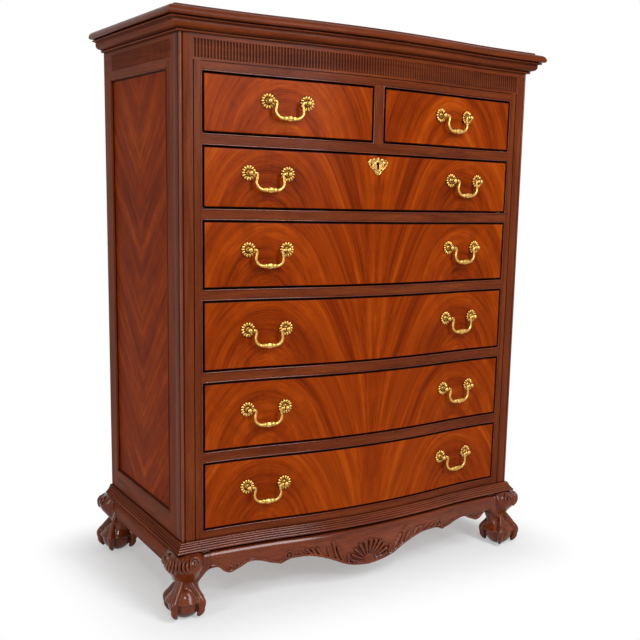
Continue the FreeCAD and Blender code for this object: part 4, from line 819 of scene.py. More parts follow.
def top_board():
    """Top with its moulded edge."""
    back = span("top_board")[1][1]
    edge = [(31.0, 0.0)] + TOP_EDGE
    rings = [[(x, y, TOP + z) for x, y in outline(out, back)] for out, z in edge]
    piece("top", Solid().loft(rings), [WOOD["x"]], "top_board", 40)


def mouldings():
    """Cornice and base moulding."""
    three_lengths("cornice", "cornice_moulding", CORNICE_PROFILE, CORNICE, (WOOD["x"], SIDE["y"]))
    three_lengths("base_moulding", "base_moulding_frame", base_profile(), CASE,
                  (CARVED["x"], SIDE["y"]))


# ---- drawer fronts
ARCH_DROP = 130.0
ARCH_SQUEEZE = 0.7
FAN_DROP = 210.0
FAN_HALF = 170.0
LONG_PULL_X = 271.0
TOP_PULL_X = 228.0
INSET, SINK, ROUND, LIP = 5.0, 7.0, 1.3, 2.0


def arched_figure(middle, level, seed, fan):
    """Flame lines that arch over the pulls, and spread upwards from the middle as a fan."""
    def figure(points):
        x = np.abs(points[:, 0])
        height = points[:, 2] - level
        up = ARCH_SQUEEZE * (height + ARCH_DROP)
        arch = np.hypot(x - middle, up)
        along = np.arctan2(x - middle, up) * ARCH_DROP
        if fan:
            foot = x * FAN_DROP / (FAN_DROP + height)
            spread = np.hypot(foot - middle, ARCH_SQUEEZE * ARCH_DROP)
            share = soft_step(np.minimum(1, x / FAN_HALF))
            arch = share * arch + (1 - share) * spread
            along = share * along + (1 - share) * height
        lean = 6 * np.sign(points[:, 0])
        return np.stack([arch + lean, along, np.full(len(x), 10.0 * seed)], 1)
    return figure


def eased_steps(low, high, step=6):
    """Positions from edge to edge, close together on the rounded edges."""
    edge = np.array([0, 0.12, 0.38, 0.78, 1.0]) * ROUND
    count = max(2, int((high - low - 2 * ROUND) / step))
    inner = np.linspace(low + ROUND, high - ROUND, count + 1)
    return np.concatenate([low + edge[:-1], inner, high - edge[:-1][::-1]])


def keyhole_bit():
    """Solid that cuts the escutcheon's keyhole through the drawer front."""
    middle = (ESC_LOW[2] + ESC_HIGH[2]) / 2
    front = float(bow(0)[0])
    return Solid().loft([[(x, y, z + middle) for x, z in keyhole_outline(40)]
                         for y in (front - 5, FRONT_BACK + 5)])


def drawer_front(name, seed):
    """Veneered front with rounded edges, walls painted near black as shade, and a wider plain back."""
    x0, x1, z0, z1 = OPENINGS[name]
    xs = eased_steps(x0 + INSET, x1 - INSET)
    zs = eased_steps(z0 + INSET, z1 - INSET)
    edge_x = np.minimum(xs - xs[0], xs[-1] - xs)
    edge_z = np.minimum(zs - zs[0], zs[-1] - zs)
    nearest = np.minimum(np.minimum(edge_x[None, :], edge_z[:, None]), ROUND)
    drop = ROUND - np.sqrt(ROUND ** 2 - (ROUND - nearest) ** 2)
    y, nx, ny = bow(xs)
    rows, cols = nearest.shape
    grid = np.stack([xs - drop * nx, y - drop * ny, np.repeat(zs[:, None], cols, 1)], 2)
    rings = [[], [], []]
    for r, c in rim_of(rows, cols):
        dx = -LIP if c == 0 else LIP if c == cols - 1 else 0.0
        dz = -LIP if r == 0 else LIP if r == rows - 1 else 0.0
        at_x, at_y = xs[c] - SINK * nx[c], y[c] - SINK * ny[c]
        rings[0].append((at_x, at_y, zs[r]))
        rings[1].append((at_x + dx, at_y, zs[r] + dz))
        rings[2].append((xs[c] + dx, FRONT_BACK, zs[r] + dz))
    points, faces, last = rimmed(grid, rings)
    solid = Solid().add(points, faces + [last])
    count = len(last)
    # The rebate walls and ledge take the near-black paint that stands in for their shade.
    solid.slots[-3 * count - 1:] = [1] * (2 * count) + [2] * (count + 1)
    materials = [VENEER, SHADE_PAINT, WOOD["x"]]
    if name == "long_drawer_1":
        # The keyhole's walls take the near-black paint that stands in for the shade inside it.
        solid = cut_out(solid, keyhole_bit(), materials, 1)
    top = name in TOP_DRAWERS
    figure = arched_figure(TOP_PULL_X if top else LONG_PULL_X, (z0 + z1) / 2, seed, not top)
    piece(f"{name}_veneered_front", solid, materials, f"{name}_front", 40, name, figure)


# ---- pulls
JOINTS = {joint["name"]: joint for joint in RECORD["behaviour"]["joints"]}
PULLS = {body[:-len("_body")]: body for body in BODIES if body.endswith("bail_body")}
POST_REACH = 17.0
BORING = 90.0
PIN_BORE = 2.08
PETALS = 14
PLINTH = 3.0
HUB = 9.0
PETAL_REACH, PETAL_RISE = 3.4, 2.7
SHANK, SHANK_PAST = 2.5, 6
NUT, NUT_HIGH = 6, 4
PETAL_SHARES = (1.0, 0.995, 0.97, 0.9, 0.78, 0.62, 0.45, 0.28, 0.12, 0.0)
HUB_PROFILE = ((8.7, 0.4), (8.2, 0.2), (7.7, 0.8), (7.4, 2.0), (6.8, 2.6), (5.8, 2.2), (5.4, 1.6),
               (4.9, 2.2), (3.5, 2.9), (1.0, 3.0))


class Spot:
    """Local axes of a pull: along the drawer, out from it, and up."""

    def __init__(self, bail):
        joint = JOINTS[f"{bail}_swing"]
        self.origin = np.array(joint["pos_m"]) / MM
        axis = np.array(joint["axis"], float)
        self.along = -axis / np.linalg.norm(axis)
        self.out = np.array([self.along[1], -self.along[0], 0.0])

    def place(self, local, along=0.0):
        """World points of local ones (along, out, up), out measured from the drawer's face."""
        local = np.asarray(local, float).reshape(-1, 3)
        return (self.origin + np.outer(local[:, 0] + along, self.along)
                + np.outer(local[:, 1] - POST_REACH, self.out) + np.outer(local[:, 2], (0, 0, 1)))


def ring_round(radius, out, count):
    """Ring of points round the out axis."""
    c, s = circle(count)
    return np.stack([radius * c, np.zeros(count) + out, radius * s], 1)


def rosette_rings():
    """Disc of petals round a sunk ring and a dome, on a low plinth."""
    count = PETALS * 12
    angles = np.linspace(0, 2 * math.pi, count, endpoint=False)
    petal = np.abs(np.cos(PETALS * angles / 2)) ** 0.6
    rim = 13.4 + PETAL_REACH * petal
    rings = [ring_round(rim, -1.2, count)]
    for share in PETAL_SHARES:
        crown = (1.0 if share < 1 else 0.4) * dome(share - 0.42, 0.6)
        height = PLINTH + 0.6 + PETAL_RISE * crown * (0.2 + 0.8 * petal)
        rings.append(ring_round(HUB + (rim - HUB) * share, height, count))
    return rings + [ring_round(radius, PLINTH + out, count) for radius, out in HUB_PROFILE]


def post_rings():
    """Neck and ball of a post."""
    head = 6.2
    start = math.asin(3.9 / head)
    profile = [(5.0, 1.0), (5.0, 3.2), (4.7, 4.2), (4.0, 5.2), (3.5, 7.0), (3.4, 8.8), (3.9, 10.0),
               (4.6, 10.6), (4.6, 11.2), (3.9, 11.8)]
    profile += [(head * math.sin(a), POST_REACH - head * math.cos(a))
                for a in np.linspace(start, math.pi - 0.12, 14)]
    return [ring_round(radius, out, 32) for radius, out in profile]


def rod(start, end, radius, count=16):
    """Straight round rod."""
    start, end = np.array(start, float), np.array(end, float)
    axis = (end - start) / np.linalg.norm(end - start)
    side = np.cross(axis, (0, 0, 1) if abs(axis[2]) < 0.9 else (1, 0, 0))
    side /= np.linalg.norm(side)
    c, s = circle(count)
    ring = radius * (np.outer(c, side) + np.outer(s, np.cross(axis, side)))
    return Solid().loft([start + ring, end + ring])


def pull_posts():
    """Rosette, post, shank and nut at each end of every bail."""
    rosette = Solid().loft(rosette_rings())
    bore = rod((-9, POST_REACH, 0), (9, POST_REACH, 0), PIN_BORE, 20)
    post = cut_out(Solid().loft(post_rings()), bore, [BRASS])
    for drawer in OPENINGS:
        solid = Solid()
        for spot in [Spot(bail) for bail in PULLS if bail.startswith(drawer)]:
            for end in (-BORING / 2, BORING / 2):
                solid.add(spot.place(rosette.points, end), rosette.faces)
                solid.add(spot.place(post.points, end), post.faces)
                x, y, z = spot.place([(0, 0, 0)], end)[0]
                shank = rod((x, y - 2, z), (x, FRONT_BACK + SHANK_PAST, z), SHANK)
                nut = rod((x, FRONT_BACK - 0.3, z), (x, FRONT_BACK + NUT_HIGH, z), NUT, 6)
                solid.add(shank.points, shank.faces).add(nut.points, nut.faces)
        piece(f"{drawer}_posts", solid, [BRASS], f"{drawer}_pull_posts", 38, drawer)


# Half of a bail as (along, up, radius) from the pivot axis: its boss, neck and grip.
BAIL_DROP = 35.5
BAIL_BOSS = [(-48.0, 0, 1.95), (-38.4, 0, 1.95), (-38.35, 0, 3.6), (-37.6, 0, 4.5), (-36.2, 0, 4.7),
             (-34.9, 0, 4.2), (-34.2, 0, 3.4)]
BAIL_NECK = [(-33.6, 0, 3.3), (-31.2, -0.9, 3.3), (-29.9, -3.2, 3.2), (-29.9, -7, 3.1),
             (-30.9, -12, 3.15), (-31.9, -17.5, 3.25), (-31.6, -22.5, 3.35), (-29.4, -27.6, 3.5),
             (-25.6, -31.6, 3.6), (-21.4, -34.2, 3.8), (-18.4, -35.2, 4.1)]
BAIL_GRIP = [(-17.2, 4.8), (-16.4, 4.6), (-12, 5.7), (-8, 6.1), (-6.9, 5.6), (-6.2, 6.4), (-3, 6.9),
             (0, 7.0)]
LEAF_EDGE = 6.5


def bail_rings():
    """Rings of a bail: boss, swan neck and leaf-carved grip, the middle at the pivot axis."""
    grip = [(u, -BAIL_DROP, radius) for u, radius in BAIL_GRIP]
    half = np.vstack([BAIL_BOSS, smooth_path(BAIL_NECK, 38), smooth_path(grip, 26)])
    way = np.vstack([half, half[-2::-1] * (-1, 1, 1)])
    ahead = headings(way)
    ahead[(np.abs(way[:, 1]) < 0.01) | (np.abs(way[:, 1] + BAIL_DROP) < 0.01)] = (1, 0)
    angles = np.linspace(0, 2 * math.pi, 28, endpoint=False)
    rings = []
    for (u, v, radius), (du, dv) in zip(way, ahead):
        r = np.full(len(angles), radius)
        if abs(u) < 17.3 and v < 0.1 - BAIL_DROP:
            outer = abs(u) > LEAF_EDGE
            leaf = np.abs(np.cos(3.5 * angles + (0.5 * math.pi if outer else 0)))
            reach = 1 - abs(abs(u) - (12 if outer else 0)) / 7
            r = r * (0.93 + 0.13 * leaf * max(reach, 0.2))
        rings.append(np.stack([u - dv * r * np.sin(angles), r * np.cos(angles) + POST_REACH,
                               v + du * r * np.sin(angles)], 1))
    return np.array(rings)


def bails():
    """Bail of every pull, riding on its own body."""
    rings = bail_rings()
    for node, body in PULLS.items():
        shape = Spot(node).place(rings).reshape(rings.shape)
        piece(f"{node}_wire", Solid().loft(shape), [BRASS], node, 42, body)


# ---- escutcheon
ESC_LOW, ESC_HIGH = span("escutcheon")
SHIELD = [(0, 20.6), (2.6, 19.2), (4.6, 16.6), (8, 15.8), (11.6, 17.4), (15, 16.8), (17.4, 14.8),
          (20.6, 15.2), (24.4, 13.2), (27.4, 9.6), (28.2, 6.2), (26.0, 3.4), (25.4, 0.4),
          (22.6, -1.6), (21.6, -4.6), (18.2, -6.0), (17, -8.8), (14, -9.8), (12.2, -12.8),
          (9.4, -14.2), (8.2, -17.4), (5.0, -20.2), (2.2, -21.6), (0, -21.9)]
HEAD_Z, HEAD_RADIUS, SLOT_HALF, SLOT_LENGTH = 4.0, 3.8, 2.4, 12.6


def keyhole_outline(count):
    """Outline of the keyhole, from the middle of the plate, starting at its top."""
    places = []
    for angle in np.linspace(math.pi / 2, math.pi / 2 - 2 * math.pi, count, endpoint=False):
        dx, dz = math.cos(angle), math.sin(angle)
        reach = HEAD_RADIUS
        if dz < 0:
            to_side = SLOT_HALF / max(abs(dx), 1e-9)
            reach = max(reach, min(to_side, SLOT_LENGTH / -dz))
        places.append((reach * dx, reach * dz + HEAD_Z))
    return np.array(places)


class Relief:
    """Carving gathered as the highest of many rounded strokes."""

    def __init__(self, across, up, ground):
        self.across = across
        self.up = up
        self.height = ground.copy()
        self.ground = ground

    def stroke(self, knots, dense=7):
        """Rounded stroke through (across, up, half width, rise)."""
        path = smooth_path(knots, dense * len(knots))
        widest = max(k[2] for k in knots) + 1
        near = ((self.across > path[:, 0].min() - widest) & (self.across < path[:, 0].max() + widest)
                & (self.up > path[:, 1].min() - widest) & (self.up < path[:, 1].max() + widest))
        x, z = self.across[near], self.up[near]
        best = np.zeros(x.shape)
        for a, b in zip(path, path[1:]):
            dx, dz = b[0] - a[0], b[1] - a[1]
            t = np.clip(((x - a[0]) * dx + (z - a[1]) * dz) / max(dx * dx + dz * dz, 1e-9), 0, 1)
            width = a[2] + (b[2] - a[2]) * t
            rise = a[3] + (b[3] - a[3]) * t
            best = np.maximum(best, rise * dome(np.hypot(x - a[0] - t * dx, z - a[1] - t * dz), width))
        self.height[near] = np.maximum(self.height[near], self.ground[near] + best)

    def knob(self, x, z, radius, rise):
        """Rounded knob, a stroke too short to see as one."""
        self.stroke([(x, z, radius, rise), (x + 0.01, z, radius, rise)], 2)

    def sink(self, x, z, radius_x, radius_z, depth):
        """Lower the ground round a place."""
        fall = np.maximum(1 - ((self.across - x) / radius_x) ** 2
                          - ((self.up - z) / radius_z) ** 2, 0)
        self.ground -= depth * np.minimum(fall * 3, 1)
        self.height -= depth * np.minimum(fall * 3, 1)


SCROLLS = [([(0, 11), (4.4, 9.6), (6.6, 5), (6.0, -1), (5.0, -6.4), (3.2, -10.4), (0, -12)], 1.8, 1.9),
           ([(0, 19.4), (1.4, 16), (0, 12)], 2.0, 2.0),
           ([(4, 13.4), (8, 13.2), (12, 15.2), (16, 14), (20.5, 13.2), (25, 10), (26.2, 6.4)],
            1.7, 1.8),
           ([(23.6, 7.4), (20.4, 8.4), (15.6, 6.6), (13.4, 2.8), (15.6, -1), (20, -1.6), (22.6, 1.6)],
            1.7, 1.9),
           ([(22, -2.2), (18, -4.6), (15, -7.6), (11.4, -10.8), (7.6, -14), (6.4, -17.4), (2.6, -19.6)],
            1.7, 1.7),
           ([(8.6, 8.6), (10, 3.4), (9.2, -2.4), (7.6, -7)], 1.3, 1.2)]
BOSSES = [(11.4, 15.4, 2.2, 2.0), (22.6, 12, 2.2, 1.9), (24.4, 2.2, 1.8, 1.6),
          (19.8, -4.2, 2.0, 1.8), (14.6, -8.4, 2.0, 1.7), (0, -16, 2.2, 1.8), (5.4, -16.8, 1.8, 1.6)]
HOLES = [(18.2, 2.8, 2.5), (12.0, 9.6, 1.7), (9.6, -9.4, 1.8), (5.4, 14.6, 1.4)]


PLATE = 1.5


def escutcheon():
    """Cast shield with scrolls, bosses, shallow holes and a keyhole."""
    half = smooth_path(SHIELD, 120)
    rim = np.vstack([half, half[-2:0:-1] * (-1, 1)])
    count = len(rim)
    keyhole = keyhole_outline(count)
    shares = np.array([0, 0.03, 0.08] + list(np.linspace(0.14, 0.94, 26)) + [0.975, 1.0])
    first = np.argmin(np.abs(np.arctan2(rim[:, 1] - HEAD_Z, rim[:, 0]) - math.pi / 2))
    rim = np.roll(rim, -first, 0)
    surface = keyhole[None] + shares[:, None, None] * (rim - keyhole)[None]
    x, z = surface[:, :, 0], surface[:, :, 1]
    a = np.abs(x)
    relief = Relief(a, z, np.full(x.shape, PLATE))
    for knots, width, rise in SCROLLS:
        relief.stroke([(*knot, width, rise) for knot in knots], 8)
    height = relief.height
    for cx, cz, radius, rise in BOSSES:
        height = np.maximum(height, PLATE + rise * dome(np.hypot(a - cx, z - cz), radius))
    for cx, cz, radius in HOLES:
        height -= 1.1 * radius * dome(np.hypot(a - cx, z - cz), radius)
    edge = np.minimum(shares, 1 - shares)[:, None] * np.hypot(*(rim - keyhole).T)[None]
    height = np.minimum(height, 1.0 + 1.6 * np.sqrt(np.maximum(edge, 0)))
    front = on_front(0, 0)[1]
    at_z = (ESC_LOW[2] + ESC_HIGH[2]) / 2
    tops = np.stack([x, front - height, z + at_z], 2)
    backs = np.stack([x[[-1, 0]], np.full((2, count), front + 0.8), z[[-1, 0]] + at_z], 2)
    piece("escutcheon_plate", Solid().loft(np.concatenate([tops, backs]), closed=True), [BRASS],
          "escutcheon", 50, "long_drawer_1")


# ---- aprons
APRON_LOW = [(0, -131), (25, -129), (48, -125), (70, -117), (95, -105), (120, -94), (147, -84.5),
             (170, -79.5), (188, -79), (205, -78.5), (216, -80), (228, -85), (235, -88), (242, -86),
             (250, -84), (260, -81.5), (275, -75.5), (290, -71), (303, -68.7), (318, -70),
             (333, -78), (348, -84), (358, -88), (368, -86), (377, -80), (385, -72), (395, -67.7),
             (415, -69)]
APRON_OUT = [(-140, 9), (-120, 10), (-100, 11.5), (-78, 13), (-62, 14.8), (-50, 15.4), (-43, 15.0),
             (-37.5, 13.6), (-33.5, 11.2), (-30.5, 7.8), (-28.4, 3.6), (-27.2, 0.6), (-20, 0)]
APRON_BACK = 13.5
APRON_COLUMNS = 821
# Sunk grounds of the shell and the spray: middle, half sizes and depth.
SUNK = ((0, -105, 66, 48, 1.4), (120, -85, 96, 34, 1.6))
# Bead and line along the lower edge: distance from it, half width and rise.
EDGE_BEADS = ((2.2, 1.9, 2.2), (6.2, 1.2, 1.3))
SIDE_APRON_LOW = -69.0
SIDE_APRON_HIGH = -22.0
SIDE_APRON_BACK = 14.0

SHELL = [[(0, -104, 2.2, 2.4), (0, -87, 3.6, 4.6), (0, -69, 5.2, 7.2), (0, -67, 4.8, 6.6)],
         [(5, -105, 2.2, 2.4), (10, -88, 3.4, 4.6), (15, -71.5, 5.0, 7.2), (15.6, -70, 4.6, 6.6)],
         [(10, -107, 2.2, 2.4), (19, -92, 3.3, 4.6), (28.4, -76.5, 4.8, 7.0), (29.2, -75, 4.4, 6.4)],
         [(14, -110, 2.2, 2.4), (27, -98, 3.2, 4.4), (39, -86.5, 4.6, 6.8), (40.2, -85, 4.2, 6.2)],
         [(17, -114, 2.2, 2.4), (32, -106.5, 3.1, 4.2), (46.4, -98.6, 4.4, 6.4), (48, -97, 4.0, 5.8)],
         [(20, -119, 2.2, 2.2), (35, -116, 3.0, 3.8), (49, -111, 4.0, 5.6), (50, -109.6, 3.6, 5.0)]]
SPRAY = [[(56, -118, 3.0, 2.6), (60, -105, 3.6, 4.2), (61, -93, 4.2, 5.4)],
         [(70, -114, 3.0, 2.6), (80, -95, 3.6, 4.2), (91, -70.5, 4.4, 5.6)],
         [(83, -108, 3.0, 2.6), (95, -88, 3.6, 4.2), (100.5, -70, 4.0, 4.8), (105.5, -54, 4.6, 5.8)],
         [(98, -102, 3.0, 2.6), (110, -87, 3.4, 4.0), (118, -69, 4.2, 5.4)],
         [(120, -92, 3.0, 2.6), (134, -80, 3.4, 4.0), (145, -64, 4.2, 5.4)],
         [(137, -86, 3.0, 2.6), (149, -75, 3.2, 3.8), (159, -62, 3.8, 5.0)],
         [(150, -82, 2.8, 2.4), (163, -70, 3.2, 3.6), (174, -59, 3.8, 4.8)],
         [(170, -79, 2.8, 2.4), (182, -71, 3.0, 3.2), (192, -63, 3.4, 4.2)]]
STEM = [(52, -119, 3.4, 3.2), (75, -111, 3.6, 3.6), (98, -99, 3.6, 3.6), (122, -88.5, 3.4, 3.4),
        (147, -79.5, 3.2, 3.2), (172, -75, 3.0, 3.0), (196, -73.6, 3.0, 3.0), (206, -71, 3.0, 3.2),
        (209, -63, 2.8, 3.4), (216, -58.4, 2.6, 3.4), (223.5, -61.5, 2.5, 3.2),
        (225.6, -68.5, 2.4, 3.0), (221, -74.4, 2.3, 2.8), (214.6, -73, 2.0, 2.4)]
DROP = [(226, -75, 2.6, 2.6), (232, -80, 3.2, 3.2), (236, -82.6, 3.4, 3.4), (243, -80.8, 3.0, 3.0),
        (256, -76.6, 2.6, 2.6), (274, -69.8, 2.4, 2.4), (291, -64.6, 2.4, 2.4),
        (305, -62.4, 2.4, 2.4), (318, -64.6, 2.6, 2.6), (331, -72, 2.8, 3.0),
        (345, -79, 3.0, 3.2), (357, -82.6, 3.6, 3.6), (367, -80.4, 3.0, 3.2),
        (377, -73, 2.8, 2.8), (386, -66, 2.6, 2.4), (399, -62.6, 2.4, 2.0)]
KNOBS = [(217, -67.2, 4.0, 4.6), (326, -67.5, 4.0, 3.6), (341, -69.5, 4.4, 4.0),
         (357.5, -71.5, 4.6, 4.2), (9, -127.5, 4.6, 3.0), (18, -126.8, 4.4, 3.0),
         (26.5, -124.8, 4.2, 3.0), (34.5, -121.6, 4.0, 3.0), (0, -128, 4.0, 3.0),
         (0, -118, 15.0, 5.2), (42.5, -119.5, 3.6, 3.0), (203, -65, 3.0, 3.0)]


def front_apron():
    """Bulged apron with its shell, sprays and edge bead carved into the mesh."""
    reach, top = span("front_apron")[1][[0, 2]] + (6, 0)
    xs = np.linspace(-reach, reach, APRON_COLUMNS)
    share = np.concatenate([[0, 0.006, 0.016, 0.03], np.linspace(0.05, 1, 70)])
    foot = CASE + lookup(APRON_LOW, np.abs(xs))
    z = foot[:, None] + share[None, :] * (top - foot[:, None])
    across = np.abs(np.repeat(xs[:, None], len(share), 1))
    relief = Relief(across, z - CASE, lookup(APRON_OUT, z - CASE))
    for ground in SUNK:
        relief.sink(*ground)
    for knots in SHELL + SPRAY + [STEM, DROP]:
        relief.stroke(knots)
    for knob in KNOBS:
        relief.knob(*knob)
    slope = np.gradient(foot, xs)[:, None]
    away = (z - foot[:, None]) / np.sqrt(1 + slope ** 2)
    edge = np.max([rise * dome(away - at, half) for at, half, rise in EDGE_BEADS], 0)
    height = np.maximum(relief.height, relief.ground + edge) - 2.2 * worn(away, 1.2)
    y, nx, ny = bow(xs)
    rings = np.stack([xs[:, None] + height * nx[:, None], y[:, None] + height * ny[:, None], z], 2)
    behind = [np.stack([xs - APRON_BACK * nx, y - APRON_BACK * ny, level], 1)
              for level in (np.full(len(xs), top), foot)]
    piece("apron_front", Solid().loft(np.concatenate([rings, np.stack(behind, 1)], 1)),
          [CARVED["x"]], "front_apron", 44)


def side_aprons():
    """Plain aprons with the front one's bulge."""
    low, high = span("left_apron")
    ys = np.concatenate([np.linspace(low[1] - 6, low[1] + 24, 14),
                         np.linspace(low[1] + 34, high[1] - 34, 12),
                         np.linspace(high[1] - 24, high[1] + 6, 14)])
    away = np.linspace(0, 1, 22) * (SIDE_APRON_HIGH - SIDE_APRON_LOW)
    out = lookup(APRON_OUT, SIDE_APRON_LOW + away) + 1.3 * dome(away - 3.2, 2.6) - 3 * worn(away, 2.2)
    section = list(zip(out, SIDE_APRON_LOW + away))
    section += [(-SIDE_APRON_BACK, SIDE_APRON_HIGH), (-SIDE_APRON_BACK, SIDE_APRON_LOW)]
    for s, name in SIDES:
        rings = [[(s * (HALF + o), y, CASE + up) for o, up in section] for y in ys]
        piece(f"apron_{name}", Solid().loft(rings), [SIDE["y"]], f"{name}_apron", 44)


# ---- legs
BALL = 38.0
BALL_Z = 36.0
LEG_IN = 8.0
LEG_CUT = 154
KNEE_IN = 14.0
KNEE_ARC = 50.0
KNEE_BLOCK = 68.0
KNEE_RELIEF = 1.35
KNEE_FOOT = 80
VOXEL = 1.05
LEG_COLUMNS = 96
LEG_OUT = FRONT - span("front_left_leg")[0][1]
SHAFT = [(154, 22, 36), (149, 19, 42), (143, 16, 46.8), (136, 14.2, 49.9), (128, 13.8, 50.6),
         (119, 14.2, 49.8), (110, 15.2, 45.8), (101, 16.2, 39.6), (92, 17, 33.6), (83, 17.2, 29),
         (75, 16.5, 26.8), (68, 14, 27.6), (61, 11.5, 30.6), (54, 9.6, 35.2), (47, 8.4, 40.0),
         (43.5, 8, 42.8), (40.6, 8, 43.0), (38.0, 8, 38.4)]
WING_LOW = [(14, 70), (34, 76), (41.2, 88), (50.8, 100.3), (61.5, 105.6), (68, 107.4), (80, 108)]
TALON = [(10, 90, 5.0), (16, 80, 7.4), (22.5, 70.5, 8.6), (29.5, 62, 8.8), (36, 54.5, 8.4),
         (41, 47.5, 9.8), (44, 40.5, 11.2), (45, 33.5, 10.0), (44.6, 27.5, 8.4),
         (43.6, 22, 8.9), (41.0, 15.5, 7.6), (37.6, 10, 5.4), (35.0, 6.6, 3.6)]
TALON_TURNS = (42, 128, 218, 304)


def ramp_share(value, low, high):
    """Share of the way from low to high, held at 0 and 1 beyond."""
    return max(0, min(1, (value - low) / (high - low)))


def shaft_rings():
    """Cabriole shaft from the base moulding to the top of the ball, axes from the corner."""
    c, s = circle(LEG_COLUMNS)
    rings = []
    for z, inset, radius in smooth_path(SHAFT, 64):
        square = 2.0 + 0.4 * ramp_share(z, 105, 125)
        grow = radius * (np.abs(c) ** square + np.abs(s) ** square) ** (-1 / square)
        inner = 1 - 0.32 * ramp_share(z, 88, 108)
        rings.append(np.stack([inset + grow * c * np.where(c > 0, inner, 1),
                               inset + grow * s * np.where(s > 0, inner, 1),
                               np.full(LEG_COLUMNS, z)], 1))
    return rings


def wing_rings():
    """Bracket that carries the knee into the front apron, axes from the corner."""
    shaft = np.array(SHAFT[::-1], float)
    rings = []
    for x in np.linspace(12, KNEE_BLOCK, 29):
        low = float(np.interp(x, *np.array(WING_LOW, float).T))
        z = low + (LEG_CUT - low) * np.linspace(0, 1, 26)
        knee = np.interp(z, shaft[:, 0], shaft[:, 2] - shaft[:, 1])
        apron = lookup(APRON_OUT, np.minimum(z - CASE, -20.5)) - 0.4
        s = soft_step(ramp_share(x, 14, 40))
        out = (1 - s) * knee + s * apron - 5 * worn(z - low, 6)
        rings.append([(x, -o, level) for o, level in zip(out, z)]
                     + [(x, 16, LEG_CUT), (x, 16, low)])
    return rings


def talon(turn):
    """Rings of one talon from the ankle over two knuckles to its claw."""
    way = smooth_path(TALON, 54)
    out = np.array([math.cos(turn), math.sin(turn), 0])
    side = np.array([-math.sin(turn), math.cos(turn), 0])
    c, s = circle(28)
    rings = []
    for (reach, z, radius), (dr, dz) in zip(way, headings(way)):
        across = np.array([-dz * out[0], -dz * out[1], dr])
        centre = np.array([LEG_IN, LEG_IN, z]) + reach * out
        rings.append(centre + radius * (np.outer(c, side) * 0.86 + np.outer(s, across)))
    return rings


def ball_rings():
    """Ball with a small flat to stand on."""
    c, s = circle(LEG_COLUMNS)
    rings = []
    for a in np.linspace(math.asin((0.4 - BALL_Z) / BALL), math.pi / 2 - 0.03, 40):
        radius = BALL * math.cos(a)
        rings.append(np.stack([LEG_IN + radius * c, LEG_IN + radius * s,
                               np.full(LEG_COLUMNS, BALL_Z + BALL * math.sin(a))], 1))
    return rings


def remeshed(solid, voxel):
    """One watertight skin over overlapping shells: points, normals and faces."""
    obj = mesh_object("blank", solid)
    skin = obj.modifiers.new("skin", "REMESH")
    skin.mode = "VOXEL"
    skin.voxel_size = voxel * MM
    relax = obj.modifiers.new("relax", "SMOOTH")
    relax.iterations = 3
    relax.factor = 0.5
    points, normals, faces, _ = after_modifiers(obj)
    return points / MM, normals, faces


KNEE_STROKES = [
    [(30.5, 127, 1.8, 1.6), (29.6, 136, 2.8, 3.0), (33, 143.6, 3.0, 3.3), (41, 147, 3.0, 3.3),
     (48, 144.6, 3.0, 3.3), (51, 138, 2.8, 3.2), (48.6, 131.6, 2.6, 3.0), (42.6, 130.4, 2.4, 2.8),
     (39.6, 134, 2.4, 2.8)],
    [(26.5, 144.5, 1.6, 1.4), (22.6, 137, 3.2, 3.3), (22.8, 128, 3.4, 3.3), (27.5, 120, 2.4, 2.0)],
    [(18.5, 147, 1.6, 1.4), (15, 138.5, 3.2, 3.3), (15, 129, 3.4, 3.3), (20, 117.5, 2.4, 2.0)],
    [(10.5, 147, 1.6, 1.4), (7.4, 138, 3.0, 3.2), (7.4, 127.5, 3.2, 3.2), (12.5, 114, 2.4, 1.8)],
    [(0, 150, 2.2, 2.0), (0, 138, 3.2, 3.0), (0, 122, 2.8, 2.6), (0, 104, 1.6, 0.8)],
    [(95, 110.2, 1.6, 1.3), (88, 108.4, 1.6, 1.3), (78, 103.4, 1.6, 1.3), (70, 94, 1.5, 1.2),
     (64, 83, 1.3, 0.6)],
]
VOLUTE_EYE = (41.4, 137.6, 3.4, 4.2)


def knee_relief(arc_length, z):
    """Height of the knee's carving, by the distance round the knee from the leg's corner."""
    relief = Relief(arc_length, z, np.zeros(z.shape))
    for knots in KNEE_STROKES:
        relief.stroke(knots)
    relief.knob(*VOLUTE_EYE)
    return relief.height


def leg_skin():
    """Skin of the front left leg, axes from the case corner."""
    wing = np.array(wing_rings())
    solid = Solid().loft(shaft_rings()).loft(ball_rings()).loft(wing).loft(wing[:, :, [1, 0, 2]])
    for turn in TALON_TURNS:
        solid.loft(talon(math.radians(turn)))
    block = eased_rectangle(-6, KNEE_BLOCK, -6, KNEE_BLOCK, 5)
    solid.loft([[(x, y, z) for x, y in block] for z in (112, LEG_CUT)])
    points, normals, faces = remeshed(solid, VOXEL)
    dx, dy = KNEE_IN - points[:, 0], KNEE_IN - points[:, 1]
    turn = np.arctan2(np.abs(dx - dy), dx + dy)
    ahead = np.maximum(dx, dy) > 0
    arc_length = KNEE_ARC * np.minimum(turn, math.pi / 4)
    arc_length += np.maximum(0, -np.minimum(dx, dy)) * ahead
    outward = np.maximum(-normals[:, 0], -normals[:, 1])
    weight = np.clip((outward - 0.3) / 0.3, 0, 1) * (points[:, 2] > KNEE_FOOT) * ahead
    carved = KNEE_RELIEF * weight * knee_relief(arc_length, points[:, 2])
    points = points + normals * carved[:, None]
    points[:, 2] = np.clip(points[:, 2], 0, LEG_TOP)
    points[:, :2] = np.maximum(points[:, :2], -LEG_OUT)
    return points, faces


